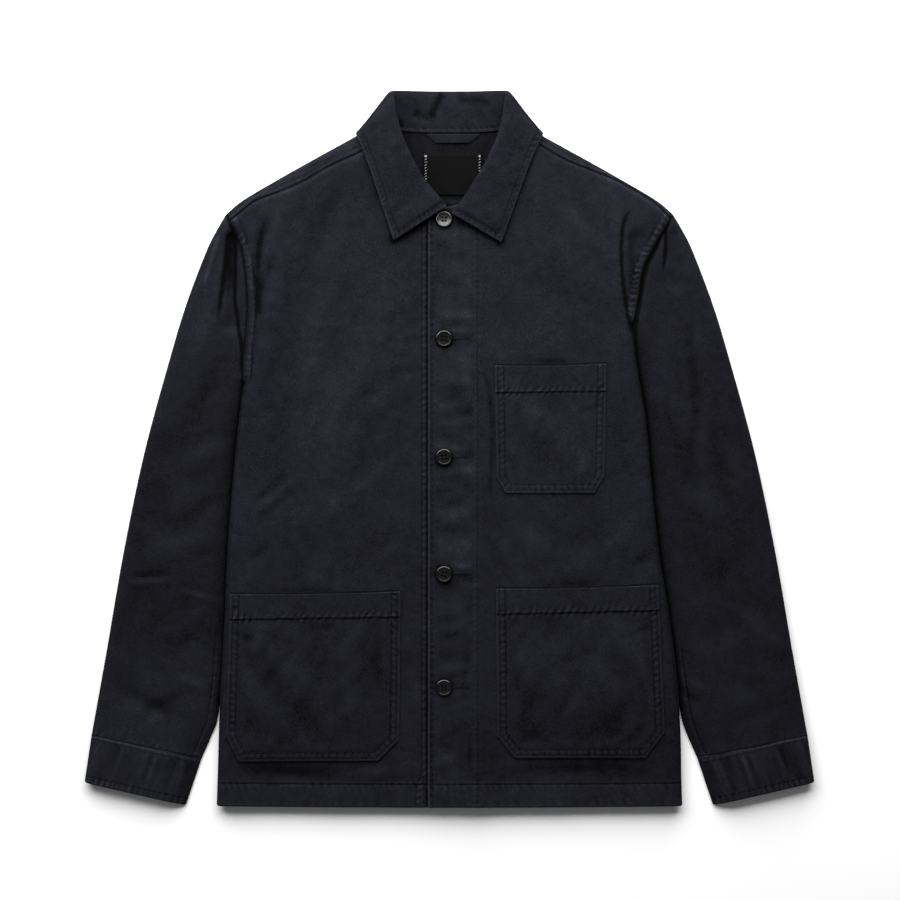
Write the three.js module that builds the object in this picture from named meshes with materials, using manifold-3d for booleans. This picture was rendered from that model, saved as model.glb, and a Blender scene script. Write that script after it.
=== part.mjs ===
// A chore jacket, buttoned and laid flat on its back: front up, sleeves down beside the body, hem towards -Y.
// Millimetres, +Z up. The origin is on the surface it lies on, under the middle of its outline.
// Every cloth piece is a closed wall: its outer points, its inner points and the rim that joins them.
// +X is the wearer's left. Plan tables of one side are written with x outwards from the centre line.

import * as THREE from "three";
import { mergeVertices } from "three/addons/utils/BufferGeometryUtils.js";
import Module from "manifold-3d";

// Cloth
const CLOTH = 1.2; // one layer of heavy cotton twill
const FOLDED = 2.4; // hems, front facings and cuffs, where the cloth is turned on itself
const COLLAR_CLOTH = 2.0; // two layers and the interlining
const LABEL_CLOTH = 1.0;
const SEAM_GAP = 0.3; // between pieces that are sewn together or lie on each other

// Rounded edges of the laid garment, seen in section
const EDGE_Z = 8; // height of an edge's outermost line
const EDGE_ROUND = 11; // plan width over which an edge rounds off
const TUCK_Z = 2; // height of the sleeve's edge where it lies under the body's edge
const TUCK_RISE = 28; // plan width over which the sleeve rises from there
const TUCK_ROUND = 4;
const TUCK = 1.5; // how far the sleeve's edge lies under the body's edge
const ARMHOLE_BLEND = 70; // length over which a sleeve takes its own section

// Heights of the cloth above the surface
const BODY_CROWN = 16;
const HEM_DROP = 2.5;
const NECK_DROP = 1.5;
const SLEEVE_CROWN = 15;
const CUFF_DROP = 2;
const CUFF_STEP = 0.8; // the cuff stands this much above the sleeve
const NECK_LIFT = 3.2; // the back neck lies on the turned-down collar

// Lengths along the garment
const HEM_Y = -392;
const BACK_HEM_Y = -391;
const HEM_BOW = 1.5; // the hem's middle hangs this much lower than its ends
const HEM_DEPTH = 26;
const FRONT_EDGE = -24; // the buttonhole edge of the wearer's left front
const UNDERLAP_EDGE = 12; // the button edge of the wearer's right front, below it
const FACING = 52; // width of each front's turned facing
const SEAM_TO_EDGE = 2.7; // height of the upper front over the lower one: its wall and the gap

// Plan curves of one side: x outwards, y up the garment
const SHOULDER_EDGE = [
  { x: 78, y: 357 },
  { x: 111, y: 339 },
  { x: 151, y: 317 },
  { x: 190, y: 295 },
  { x: 227, y: 273 },
  { x: 246, y: 257 },
];
const SLEEVE_EDGE = [
  { x: 246, y: 257 },
  { x: 256, y: 240 },
  { x: 267, y: 218 },
  { x: 288, y: 163 },
  { x: 305, y: 108 },
  { x: 335, y: -2 },
  { x: 358, y: -112 },
  { x: 377, y: -222 },
  { x: 394, y: -317 },
];
const CUFF = {
  outerTop: { x: 394, y: -317 },
  outerEnd: { x: 401.3, y: -366 },
  innerTop: { x: 273, y: -341 },
  innerEnd: { x: 290, y: -391.7 },
};
const SLEEVE_FREE = [
  // the sleeve's inner edge below the point where it leaves the body's edge
  { x: 255, y: -294 },
  { x: 263, y: -318 },
];

// The two sides differ, because the cloth lies differently at the armholes.
const LEFT = {
  name: "left",
  sign: 1,
  flank: [
    { x: 256, y: HEM_Y },
    { x: 255, y: -360 },
    { x: 254, y: -310 },
    { x: 250, y: -250 },
    { x: 241, y: -180 },
    { x: 231, y: -118 },
    { x: 223, y: -45 },
    { x: 216, y: 31 },
    { x: 206, y: 92 },
    { x: 201, y: 135 },
  ],
  armhole: [
    { x: 201, y: 135 },
    { x: 207, y: 165 },
    { x: 212, y: 196 },
    { x: 223, y: 219 },
    { x: 236, y: 241 },
    { x: 246, y: 257 },
  ],
  shoulderSeam: [
    { x: 228, y: 265 },
    { x: 206, y: 280 },
    { x: 182, y: 294 },
    { x: 150, y: 307 },
    { x: 124, y: 319 },
    { x: 98, y: 334 },
    { x: 75, y: 345 },
  ],
  neckline: [
    { x: 75, y: 345 },
    { x: 64, y: 318 },
    { x: 46, y: 293 },
    { x: 27, y: 277 },
    { x: 8, y: 271 },
    { x: FRONT_EDGE, y: 264 },
  ],
  overlap: -FRONT_EDGE, // how far past the centre line this front reaches
};
const RIGHT = {
  name: "right",
  sign: -1,
  flank: [
    { x: 256, y: HEM_Y },
    { x: 254.5, y: -345 },
    { x: 253, y: -290 },
    { x: 250, y: -235 },
    { x: 247, y: -180 },
    { x: 245, y: -125 },
    { x: 240, y: -55 },
    { x: 233, y: 20 },
    { x: 227, y: 70 },
  ],
  armhole: [
    { x: 227, y: 70 },
    { x: 226, y: 100 },
    { x: 223, y: 130 },
    { x: 222, y: 160 },
    { x: 224, y: 190 },
    { x: 229, y: 220 },
    { x: 238, y: 240 },
    { x: 246, y: 257 },
  ],
  shoulderSeam: [
    { x: 227, y: 262 },
    { x: 212, y: 273 },
    { x: 190, y: 281 },
    { x: 160, y: 294 },
    { x: 131, y: 311 },
    { x: 100, y: 325 },
    { x: 75, y: 338 },
  ],
  neckline: [
    { x: 75, y: 338 },
    { x: 64, y: 315 },
    { x: 46, y: 293 },
    { x: 27, y: 277 },
    { x: 8, y: 271 },
    { x: -UNDERLAP_EDGE, y: 268 },
  ],
  overlap: UNDERLAP_EDGE,
};
const BACK_NECK = [
  { x: -78, y: 357 },
  { x: -50, y: 353 },
  { x: 0, y: 352 },
  { x: 50, y: 353 },
  { x: 78, y: 357 },
];

// Soft troughs (negative height) and ridges, from one end to the other, in true x and y
const FOLDS = [
  { x0: -237, y0: 240, x1: -238, y1: 130, width: 8, height: -7 }, // beside the right armhole, on the sleeve
  { x0: -256, y0: 205, x1: -262, y1: 110, width: 9, height: 1.5 },
  { x0: 212, y0: 238, x1: 203, y1: 150, width: 10, height: -5 }, // between the left armhole and the chest fold
  { x0: 187, y0: 252, x1: 190, y1: 150, width: 9, height: 1.8 },
  { x0: 247, y0: 240, x1: 250, y1: 175, width: 7, height: -4 }, // below the left sleeve head
  { x0: 232, y0: 190, x1: 222, y1: 60, width: 12, height: -3 },
  { x0: -160, y0: 250, x1: -120, y1: 60, width: 28, height: -2 }, // drag lines from shoulder to chest
  { x0: 120, y0: 290, x1: 185, y1: 130, width: 26, height: -2 },
  { x0: -205, y0: 235, x1: -208, y1: 120, width: 12, height: -1.5 },
  { x0: -120, y0: -20, x1: -50, y1: -140, width: 26, height: 1.6 },
  { x0: 60, y0: -80, x1: 200, y1: -130, width: 24, height: -1.4 },
  { x0: -215, y0: -366, x1: -110, y1: -360, width: 14, height: -1.6 }, // below the pockets
  { x0: 80, y0: -366, x1: 225, y1: -358, width: 14, height: -1.2 },
  { x0: -330, y0: 10, x1: -262, y1: -60, width: 22, height: -2.5 }, // inside the elbows
  { x0: -350, y0: -90, x1: -275, y1: -150, width: 20, height: 2 },
  { x0: -300, y0: 120, x1: -318, y1: -60, width: 20, height: 2 },
  { x0: 335, y0: 20, x1: 262, y1: -50, width: 22, height: -2 },
  { x0: 345, y0: -180, x1: 268, y1: -215, width: 18, height: -2 },
  { x0: 300, y0: 130, x1: 325, y1: -60, width: 20, height: 2 },
  { x0: -378, y0: -255, x1: -300, y1: -300, width: 16, height: -2 },
  { x0: 372, y0: -265, x1: 300, y1: -290, width: 16, height: 1.6 },
];

// Pockets: outline from the upper inside corner round by the lower corners, true x and y
const POCKETS = [
  {
    name: "chest_pocket",
    topIn: { x: 50, y: 91 },
    sideIn: { x: 52, y: -33 },
    bottomIn: { x: 62, y: -49 },
    bottomOut: { x: 159, y: -49 },
    sideOut: { x: 170, y: -30 },
    topOut: { x: 172, y: 93 },
    band: 30,
  },
  {
    name: "hip_pocket_left",
    topIn: { x: 51.5, y: -154 },
    sideIn: { x: 53, y: -316 },
    bottomIn: { x: 72, y: -340 },
    bottomOut: { x: 215, y: -340 },
    sideOut: { x: 236, y: -312 },
    topOut: { x: 229, y: -150 },
    band: 28,
  },
  {
    name: "hip_pocket_right",
    topIn: { x: -54, y: -157 },
    sideIn: { x: -55.5, y: -320 },
    bottomIn: { x: -79, y: -343 },
    bottomOut: { x: -231, y: -344 },
    sideOut: { x: -245, y: -316 },
    topOut: { x: -240.5, y: -160 },
    band: 28,
  },
];
const POCKET_GAPE = 1.6; // the pocket's mouth stands this much off the front
const POCKET_BAND_STEP = 0.9; // the band's extra layer

// Collar: plan points of the neck seam, the roll line and the outer edge, from the back to the front end.
// height is the middle of the turned collar; fold turns from 1, outer leaf below, to -1, outer leaf on top.
const COLLAR_BACK = [
  { seam: [0, 348], roll: [0, 392], edge: [0, 341], seamZ: 5.6, rollZ: 3.6, edgeZ: 1.1 },
  { seam: [28, 348.3], roll: [30, 392.4], edge: [42, 341.5], seamZ: 5.6, rollZ: 3.6, edgeZ: 1.1 },
  { seam: [52, 350], roll: [53, 393], edge: [78, 343], seamZ: 6, rollZ: 4.2, edgeZ: 1.6 },
  { seam: [66, 353], roll: [61.5, 392.6], edge: [95.5, 347.5], seamZ: 8, rollZ: 6.6, edgeZ: 3.8 },
  { seam: [71, 353], roll: [63, 390.5], edge: [101.5, 347], seamZ: 12, rollZ: 11.5, edgeZ: 10.5 },
  { seam: [71, 349], roll: [61.5, 383], edge: [101, 343], seamZ: 16.5, rollZ: 18, edgeZ: 17 },
  { seam: [68, 336], roll: [58.5, 366], edge: [97, 335], seamZ: 17.5, rollZ: 21, edgeZ: 19.5 },
];
const COLLAR_FRONT = {
  left: [
    { seam: [63, 318], roll: [54, 345], edge: [89, 317], seamZ: 16.5, rollZ: 22, edgeZ: 20 },
    { seam: [53, 300], roll: [42, 317], edge: [80, 293], seamZ: 16.5, rollZ: 22, edgeZ: 20 },
    { seam: [40, 283], roll: [26, 290], edge: [69, 262], seamZ: 17, rollZ: 22, edgeZ: 20 },
    { seam: [20, 262], roll: [5, 259.6], edge: [56.3, 228.5], seamZ: 19.6, rollZ: 23.5, edgeZ: 21 },
  ],
  right: [
    { seam: [63, 318], roll: [53, 345], edge: [90, 317], seamZ: 16.5, rollZ: 22, edgeZ: 20 },
    { seam: [53, 301], roll: [42, 320], edge: [82, 294], seamZ: 16.5, rollZ: 22, edgeZ: 20 },
    { seam: [40, 286], roll: [27, 296], edge: [72, 263], seamZ: 17, rollZ: 22, edgeZ: 20 },
    { seam: [20, 268], roll: [6, 269.7], edge: [60.7, 229.4], seamZ: 19.6, rollZ: 23.5, edgeZ: 21 },
  ],
};
const ROLL_OPEN = 2.3; // half the distance between the stand and the leaf at the roll line
const LEAF_CLEAR = 0.5; // the leaf's underside above the cloth below it

// What shows inside the back neck
const LABEL = { x0: -29, x1: 36, y0: 279, y1: 323.5 };
const LOOP = {
  top: [-25, 33],
  bottom: [-15, 22],
  topY: 345.5,
  bottomY: 336.5,
  bulge: 2,
};

// Buttons
const BUTTON_X = -6;
const BUTTON_YS = [253, 120.5, -9.5, -138, -262.5];
const BUTTON = { radius: 8.9, height: 3.2, rim: 1.6, well: 1.5, hole: 1.0, holeSpacing: 1.75, segments: 24 };

// Materials
const navyTwill = new THREE.MeshStandardMaterial({ color: 0x22252f, roughness: 0.92, metalness: 0 });
const navyInside = new THREE.MeshStandardMaterial({ color: 0x1c1f27, roughness: 0.94, metalness: 0 });
const labelBlack = new THREE.MeshStandardMaterial({ color: 0x151416, roughness: 0.8, metalness: 0 });
const darkHorn = new THREE.MeshStandardMaterial({ color: 0x1d1512, roughness: 0.25, metalness: 0 });

const jacket = new THREE.Group();

function addPiece(name, geometry, material) {
  const mesh = new THREE.Mesh(geometry, material);
  mesh.name = name;
  jacket.add(mesh);
  return mesh;
}

const clamp01 = (q) => Math.min(1, Math.max(0, q));
const mix = (a, b, k) => a + (b - a) * k;
const smooth = (q) => clamp01(q) ** 2 * (3 - 2 * clamp01(q));
const quarterArc = (q) => Math.sqrt(1 - (1 - clamp01(q)) ** 2);

// A smooth plan curve through the rows of a table. at(t) runs by length, and distance(x, y) is to its nearest point.
function planCurve(rows) {
  const spline = new THREE.SplineCurve(rows.map((row) => new THREE.Vector2(row.x, row.y)));
  const samples = spline.getSpacedPoints(90);
  return {
    length: spline.getLength(),
    at: (t) => spline.getPointAt(clamp01(t)),
    distance(x, y) {
      let best = Infinity;
      for (let i = 1; i < samples.length; i++) {
        const a = samples[i - 1];
        const dx = samples[i].x - a.x;
        const dy = samples[i].y - a.y;
        const along = clamp01(((x - a.x) * dx + (y - a.y) * dy) / (dx * dx + dy * dy));
        best = Math.min(best, Math.hypot(x - a.x - along * dx, y - a.y - along * dy));
      }
      return best;
    },
  };
}

// The curves of one side that the heights are measured from.
function sideCurves(side) {
  const armpit = side.armhole[0];
  const tucked = side.flank
    .filter((row) => row.y > SLEEVE_FREE[0].y + 15 && row.y < armpit.y)
    .reverse()
    .map((row) => ({ x: row.x + mix(0.5, -TUCK, smooth((armpit.y - row.y - 45) / 45)), y: row.y }));
  const underarm = [{ x: armpit.x + 0.3, y: armpit.y - 1 }, ...tucked, ...SLEEVE_FREE, CUFF.innerTop];
  return {
    ...side,
    upper: planCurve([...SHOULDER_EDGE, ...SLEEVE_EDGE.slice(1), CUFF.outerEnd]),
    flankCurve: planCurve(side.flank),
    armholeCurve: planCurve(side.armhole),
    underarmCurve: planCurve(underarm),
    innerCurve: planCurve([...underarm, CUFF.innerEnd]),
    sleeveEdgeCurve: planCurve(SLEEVE_EDGE),
    shoulderCurve: planCurve(SHOULDER_EDGE),
  };
}
const left = sideCurves(LEFT);
const right = sideCurves(RIGHT);
const sideAt = (x) => (x < 0 ? right : left);

// Height of all soft folds together at a plan point.
function foldHeight(x, y) {
  return FOLDS.reduce((sum, fold) => {
    const dx = fold.x1 - fold.x0;
    const dy = fold.y1 - fold.y0;
    const length = Math.hypot(dx, dy);
    const along = ((x - fold.x0) * dx + (y - fold.y0) * dy) / length;
    const across = ((x - fold.x0) * dy - (y - fold.y0) * dx) / length;
    const ends = smooth((along + fold.width) / (2 * fold.width)) * smooth((length + fold.width - along) / (2 * fold.width));
    return sum + fold.height * Math.exp(-((across / fold.width) ** 2)) * ends;
  }, 0);
}

// Share of the full height that the rounded edges leave at a plan point of the body.
function bodyRound(x, y) {
  const side = sideAt(x);
  const out = Math.abs(x);
  const upper = quarterArc(side.upper.distance(out, y) / EDGE_ROUND);
  return upper * quarterArc(side.flankCurve.distance(out, y) / EDGE_ROUND);
}

function bodyTop(x, y) {
  const crown = BODY_CROWN - HEM_DROP * smooth((-250 - y) / 140) - NECK_DROP * smooth((y - 200) / 140);
  return EDGE_Z + (crown + foldHeight(x, y) - EDGE_Z) * bodyRound(x, y);
}

function bodyBottom(x, y) {
  const round = bodyRound(x, y);
  const lift = NECK_LIFT * smooth((y - 255) / 85) * smooth((140 - Math.abs(x)) / 40);
  return EDGE_Z * (1 - round) + lift * round;
}

// The sleeve takes the body's heights at the armhole and its own further down.
function sleeveSection(x, y) {
  const side = sideAt(x);
  const out = Math.abs(x);
  const toOuter = side.upper.distance(out, y);
  const toInner = side.innerCurve.distance(out, y);
  return {
    own: smooth(side.armholeCurve.distance(out, y) / ARMHOLE_BLEND),
    edge: mix(TUCK_Z, EDGE_Z, toInner / (toInner + toOuter + 1e-6)),
    outer: quarterArc(toOuter / EDGE_ROUND),
    toInner,
  };
}

function sleeveTop(x, y) {
  const { own, edge, outer, toInner } = sleeveSection(x, y);
  const crown = SLEEVE_CROWN - CUFF_DROP * smooth((-150 - y) / 180) + foldHeight(x, y);
  const rise = 1 - (1 - clamp01(toInner / TUCK_RISE)) ** 2;
  return mix(bodyTop(x, y), edge + (crown - edge) * rise * outer, own);
}

function sleeveBottom(x, y) {
  const { own, edge, outer, toInner } = sleeveSection(x, y);
  const round = quarterArc(toInner / TUCK_ROUND) * outer;
  return mix(bodyBottom(x, y), edge * (1 - round), own);
}

// The upper front climbs over the lower one's button edge.
const overlapRise = (x) => SEAM_TO_EDGE * (1 - smooth((x - FRONT_EDGE - FACING) / 36));
const leftFrontTop = (x, y) => bodyTop(x, y) + overlapRise(x) * bodyRound(x, y);
const frontTop = (x, y) => (x > FRONT_EDGE ? leftFrontTop(x, y) : bodyTop(x, y));

// Outward normal of a height function: up for an upper surface (facing 1), down for an under one (facing -1).
function surfaceNormal(height, x, y, facing) {
  const step = 0.25;
  const slopeX = (height(x + step, y) - height(x - step, y)) / (2 * step);
  const slopeY = (height(x, y + step) - height(x, y - step)) / (2 * step);
  return new THREE.Vector3(-slopeX, -slopeY, 1).multiplyScalar(facing).normalize();
}

// One point of a cloth piece: where its outer face is, which way it faces, and how thick the cloth is there.
function clothPoint(height, x, y, facing, thickness, offset = 0) {
  const normal = surfaceNormal(height, x, y, facing);
  const outer = new THREE.Vector3(x, y, height(x, y)).addScaledVector(normal, offset);
  return { outer, normal, thickness };
}

// A point on a rounded edge's outermost line, where the cloth stands upright.
function edgePoint(x, y, z, outward, thickness) {
  return { outer: new THREE.Vector3(x, y, z), normal: outward.clone().normalize(), thickness };
}

// Closes a wall over cells, lists of four point numbers that run counterclockwise seen from outside.
function wallGeometry(points, cells) {
  const used = [...new Set(cells.flat())];
  const number = new Map(used.map((id, k) => [id, k]));
  const position = [];
  for (const id of used) position.push(...points[id].outer.toArray());
  for (const id of used) {
    const { outer, normal, thickness } = points[id];
    position.push(...outer.clone().addScaledVector(normal, -thickness).toArray());
  }
  const inner = (k) => k + used.length;
  const index = [];
  const edges = new Map();
  for (const cell of cells) {
    const [a, b, c, d] = cell.map((id) => number.get(id));
    index.push(a, b, c, a, c, d);
    index.push(inner(a), inner(c), inner(b), inner(a), inner(d), inner(c));
    [[a, b], [b, c], [c, d], [d, a]].forEach(([p, q]) => edges.set(p + ">" + q, [p, q]));
  }
  for (const [p, q] of edges.values()) {
    if (!edges.has(q + ">" + p)) index.push(q, p, inner(p), q, inner(p), inner(q));
  }
  const geometry = new THREE.BufferGeometry();
  geometry.setAttribute("position", new THREE.Float32BufferAttribute(position, 3));
  geometry.setIndex(index);
  geometry.computeVertexNormals();
  return geometry;
}

// Cells of a grid of points numbered row by row. turned reverses them, for mirrored or under pieces.
function gridCells(columns, rows, { turned = false, closed = false, keep = () => true } = {}) {
  const cells = [];
  for (let j = 0; j + 1 < rows; j++) {
    for (let i = 0; i + (closed ? 0 : 1) < columns; i++) {
      if (!keep(i, j)) continue;
      const next = (i + 1) % columns;
      const cell = [j * columns + i, j * columns + next, (j + 1) * columns + next, (j + 1) * columns + i];
      cells.push(turned ? cell.reverse() : cell);
    }
  }
  return cells;
}

// Fractions of a polyline's length at its points.
function lengthFractions(points) {
  const sums = [0];
  for (let i = 1; i < points.length; i++) sums.push(sums[i - 1] + points[i].distanceTo(points[i - 1]));
  return sums.map((sum) => sum / sums[sums.length - 1]);
}

// Fills four plan boundaries with rows of points. bottom and top run along a row, start and end along a column.
function fillPatch(bottom, top, start, end) {
  const uBottom = lengthFractions(bottom);
  const uTop = lengthFractions(top);
  const vStart = lengthFractions(start);
  const vEnd = lengthFractions(end);
  const last = bottom.length - 1;
  return start.map((_, j) =>
    bottom.map((_, i) => {
      const v = mix(vStart[j], vEnd[j], uBottom[i]);
      const u = mix(uBottom[i], uTop[i], v);
      const point = bottom[i].clone().lerp(top[i], v);
      point.addScaledVector(start[j].clone().sub(bottom[0].clone().lerp(top[0], v)), (1 - u) ** 3);
      point.addScaledVector(end[j].clone().sub(bottom[last].clone().lerp(top[last], v)), u ** 3);
      return point;
    }),
  );
}

// Stations along the armhole, close together where the edges round. Front, back and sleeve share them.
const ARM_STATIONS = [0, 0.012, 0.04, 0.1, 0.22, 0.36, 0.5, 0.64, 0.78, 0.9, 0.955, 0.988, 1];
const SHOULDER_END = 10; // the station where the front's shoulder seam meets the armhole
const TIP = ARM_STATIONS.length - 1;
const SHOULDER_STATIONS = [0, 0.04, 0.1, 0.2, 0.32, 0.45, 0.58, 0.72, 0.86, 1];
const NECK_STATIONS = [0.14, 0.28, 0.4, 0.5, 0.57, 0.6, 0.73, 0.86, 1];
const HEM_STATIONS = [
  0, 0.006, 0.018, 0.036, 0.075, 0.13, 0.2, 0.28, 0.36, 0.44, 0.52, 0.6, 0.68, 0.75, 0.805, 0.816, 0.87, 0.93, 1,
];
const FLANK_ROWS = 14;

function flankStations(length) {
  const start = HEM_DEPTH / length;
  const hem = [0, start - 0.002, start + 0.002];
  return [...hem, ...Array.from({ length: FLANK_ROWS }, (_, k) => mix(start, 1, (k + 1) / FLANK_ROWS))];
}

const hemY = (x, y) => y - HEM_BOW * (1 - (x / 256) ** 2);
const nearHem = (y) => 1 - clamp01((y - HEM_Y - HEM_DEPTH) / 2);
const shifted = (point, towards, distance) =>
  point.clone().add(towards.clone().sub(point).normalize().multiplyScalar(distance));

// Plan rows of a front, with x outwards. The first column is the flank and armhole, the last the buttoning edge.
function frontPlan(side) {
  const seam = planCurve([side.armholeCurve.at(ARM_STATIONS[SHOULDER_END]), ...side.shoulderSeam]);
  const neckline = planCurve(side.neckline);
  const top = [
    ...SHOULDER_STATIONS.map((t) => seam.at(t)),
    ...NECK_STATIONS.map((t) => neckline.at(t)),
  ];
  const start = [
    ...flankStations(side.flankCurve.length).map((t) => side.flankCurve.at(t)),
    ...ARM_STATIONS.slice(1, SHOULDER_END + 1).map((t) => side.armholeCurve.at(t)),
  ];
  const edgeX = -side.overlap;
  const bottom = HEM_STATIONS.map((t) => new THREE.Vector2(mix(256, edgeX, t), HEM_Y));
  bottom.forEach((point) => (point.y = hemY(point.x, HEM_Y)));
  const endTop = top[top.length - 1];
  const end = lengthFractions(start).map((t) => bottom[bottom.length - 1].clone().lerp(endTop, t));
  return fillPatch(bottom, top, start, end);
}

function makeFront(side, height) {
  const plan = frontPlan(side);
  const columns = HEM_STATIONS.length;
  const rows = plan.length;
  const armpitRow = rows - SHOULDER_END - 1;
  const outward = new THREE.Vector3(side.sign, 0, 0);
  const points = [];
  plan.forEach((row, j) =>
    row.forEach((point, i) => {
      let place = point;
      if (i === 0 && j > armpitRow) place = shifted(place, row[1], SEAM_GAP / 2);
      if (j === rows - 1 && i < SHOULDER_STATIONS.length) place = shifted(place, plan[j - 1][i], SEAM_GAP / 2);
      const x = place.x * side.sign;
      const facing = 1 - clamp01((place.x + side.overlap - FACING) / 2);
      const thickness = mix(CLOTH, FOLDED, Math.max(facing, nearHem(place.y)));
      const onEdge = i === 0 && j <= armpitRow;
      points.push(
        onEdge
          ? edgePoint(x, place.y, EDGE_Z + SEAM_GAP / 2, outward, thickness)
          : clothPoint(height, x, place.y, 1, thickness),
      );
    }),
  );
  const geometry = wallGeometry(points, gridCells(columns, rows, { turned: side.sign > 0 }));
  return addPiece("front_" + side.name, geometry, navyTwill);
}

// The back: its sheet on the surface, and the two strips that turn over the shoulders to the front seams.
function makeBack() {
  const mirrored = (point) => new THREE.Vector2(-point.x, point.y);
  const neck = planCurve(BACK_NECK);
  const shoulder = SHOULDER_STATIONS.map((t) => left.shoulderCurve.at(1 - t));
  const neckPoints = [1, 2, 3, 4, 5].map((k) => neck.at(1 - k / 6));
  const top = [...shoulder, ...neckPoints, ...shoulder.map(mirrored).reverse()];
  const half = [0, 0.006, 0.02, 0.05, 0.12, 0.22, 0.34, 0.46, 0.58, 0.71, 0.84];
  const bottomHalf = half.map((t) => new THREE.Vector2(256 * (1 - t), hemY(256 * (1 - t), BACK_HEM_Y)));
  const bottom = [...bottomHalf, new THREE.Vector2(0, hemY(0, BACK_HEM_Y)), ...bottomHalf.map(mirrored).reverse()];
  // Both lists have to run in step, so the hem is drawn again at as many stations as the top has.
  const hemCurve = planCurve(bottom);
  const inStep = top.map((_, k) => {
    const side = Math.min(k, top.length - 1 - k);
    const t = side < 5 ? half[side] / 2 : null;
    const spread = mix(half[5] / 2, 1 - half[5] / 2, (k - 5) / (top.length - 11));
    return hemCurve.at(t === null ? spread : k < 5 ? t : 1 - t);
  });
  const boundary = (side) => [
    ...flankStations(side.flankCurve.length).map((t) => side.flankCurve.at(t)),
    ...ARM_STATIONS.slice(1).map((t) => side.armholeCurve.at(t)),
  ];
  const start = boundary(left);
  const end = boundary(right).map(mirrored);
  start[0] = inStep[0].clone();
  end[0] = inStep[inStep.length - 1].clone();
  const plan = fillPatch(inStep, top, start, end);
  const columns = top.length;
  const floorRows = plan.length;
  const armpitRow = floorRows - ARM_STATIONS.length;
  const points = [];
  plan.forEach((row, j) =>
    row.forEach((point, i) => {
      let place = point;
      const side = i < columns / 2 ? left : right;
      const outer = i === 0 || i === columns - 1;
      const inward = row[i === 0 ? 1 : columns - 2];
      if (outer && j > armpitRow) place = shifted(place, inward, SEAM_GAP / 2);
      const thickness = mix(CLOTH, FOLDED, nearHem(place.y));
      const outward = new THREE.Vector3(side.sign, 0, 0);
      const overShoulder = i < SHOULDER_STATIONS.length || i >= columns - SHOULDER_STATIONS.length;
      if (outer && j <= armpitRow) {
        points.push(edgePoint(place.x, place.y, EDGE_Z - SEAM_GAP / 2, outward, thickness));
      } else if (j === floorRows - 1 && overShoulder) {
        const slope = new THREE.Vector3(0.5 * side.sign, 0.87, 0);
        points.push(edgePoint(place.x, place.y, EDGE_Z, slope, thickness));
      } else {
        points.push(clothPoint(bodyBottom, place.x, place.y, -1, thickness));
      }
    }),
  );
  // Rows from the shoulder's edge over to the front seam, for the shoulder columns only.
  const stripShare = (ARM_STATIONS[TIP - 1] - ARM_STATIONS[SHOULDER_END]) / (1 - ARM_STATIONS[SHOULDER_END]);
  const seams = [left, right].map((side) =>
    planCurve([side.armholeCurve.at(ARM_STATIONS[SHOULDER_END]), ...side.shoulderSeam]),
  );
  for (const share of [stripShare, 0]) {
    for (let i = 0; i < columns; i++) {
      const isLeft = i < columns / 2;
      const side = isLeft ? left : right;
      const k = isLeft ? i : columns - 1 - i;
      const t = SHOULDER_STATIONS[Math.min(k, SHOULDER_STATIONS.length - 1)];
      const edge = side.shoulderCurve.at(1 - t);
      const seam = seams[isLeft ? 0 : 1].at(t);
      let place = seam.clone().lerp(edge, share);
      if (k === 0) {
        const station = share > 0 ? TIP - 1 : SHOULDER_END;
        const inner = side.shoulderCurve.at(0.9);
        place = shifted(side.armholeCurve.at(ARM_STATIONS[station]), inner, SEAM_GAP / 2);
      }
      if (share === 0) place = shifted(place, edge, SEAM_GAP / 2);
      points.push(clothPoint(bodyTop, place.x * side.sign, place.y, 1, CLOTH));
    }
  }
  const keep = (i, j) =>
    j < floorRows - 1 || i < SHOULDER_STATIONS.length - 1 || i >= columns - SHOULDER_STATIONS.length;
  const cells = gridCells(columns, floorRows + 2, { turned: false, keep });
  return addPiece("back", wallGeometry(points, cells), navyTwill);
}

// A ring of points round a flattened tube: over the top from the inner edge to the outer one, and back below.
function ringPoints(side, row, top, bottom, thickness) {
  const last = row.length - 1;
  const across = new THREE.Vector3(row[last].x - row[0].x, row[last].y - row[0].y, 0);
  across.x *= side.sign;
  const at = (height, k, facing) => clothPoint(height, row[k].x * side.sign, row[k].y, facing, thickness);
  const edgeAt = (k, outward) => {
    const x = row[k].x * side.sign;
    const z = (top(x, row[k].y) + bottom(x, row[k].y)) / 2;
    return edgePoint(x, row[k].y, z, outward, thickness);
  };
  const inside = row.slice(1, last).map((_, k) => k + 1);
  return [
    edgeAt(0, across.clone().negate()),
    ...inside.map((k) => at(top, k, 1)),
    edgeAt(last, across),
    ...inside.reverse().map((k) => at(bottom, k, -1)),
  ];
}

const SLEEVE_ROWS = [0, 0.02, 0.06, 0.12, 0.19, 0.26, 0.33, 0.4, 0.47, 0.54, 0.61, 0.68, 0.75, 0.82, 0.88, 0.94, 1];

function makeSleeve(side) {
  const armhole = ARM_STATIONS.map((t) => side.armholeCurve.at(t));
  const cuffSeam = ARM_STATIONS.map((t) =>
    new THREE.Vector2(CUFF.innerTop.x, CUFF.innerTop.y).lerp(new THREE.Vector2(CUFF.outerTop.x, CUFF.outerTop.y), t),
  );
  const inner = SLEEVE_ROWS.map((t) => side.underarmCurve.at(t));
  const outer = SLEEVE_ROWS.map((t) => side.sleeveEdgeCurve.at(t));
  const plan = fillPatch(armhole, cuffSeam, inner, outer);
  plan[0] = plan[0].map((point, i) => shifted(point, plan[1][i], SEAM_GAP / 2));
  plan[plan.length - 1] = plan[plan.length - 1].map((point, i) => shifted(point, plan[plan.length - 2][i], SEAM_GAP / 2));
  const points = plan.flatMap((row) => ringPoints(side, row, sleeveTop, sleeveBottom, CLOTH));
  const cells = gridCells(2 * TIP, plan.length, { turned: side.sign > 0, closed: true });
  return addPiece("sleeve_" + side.name, wallGeometry(points, cells), navyTwill);
}

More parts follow.
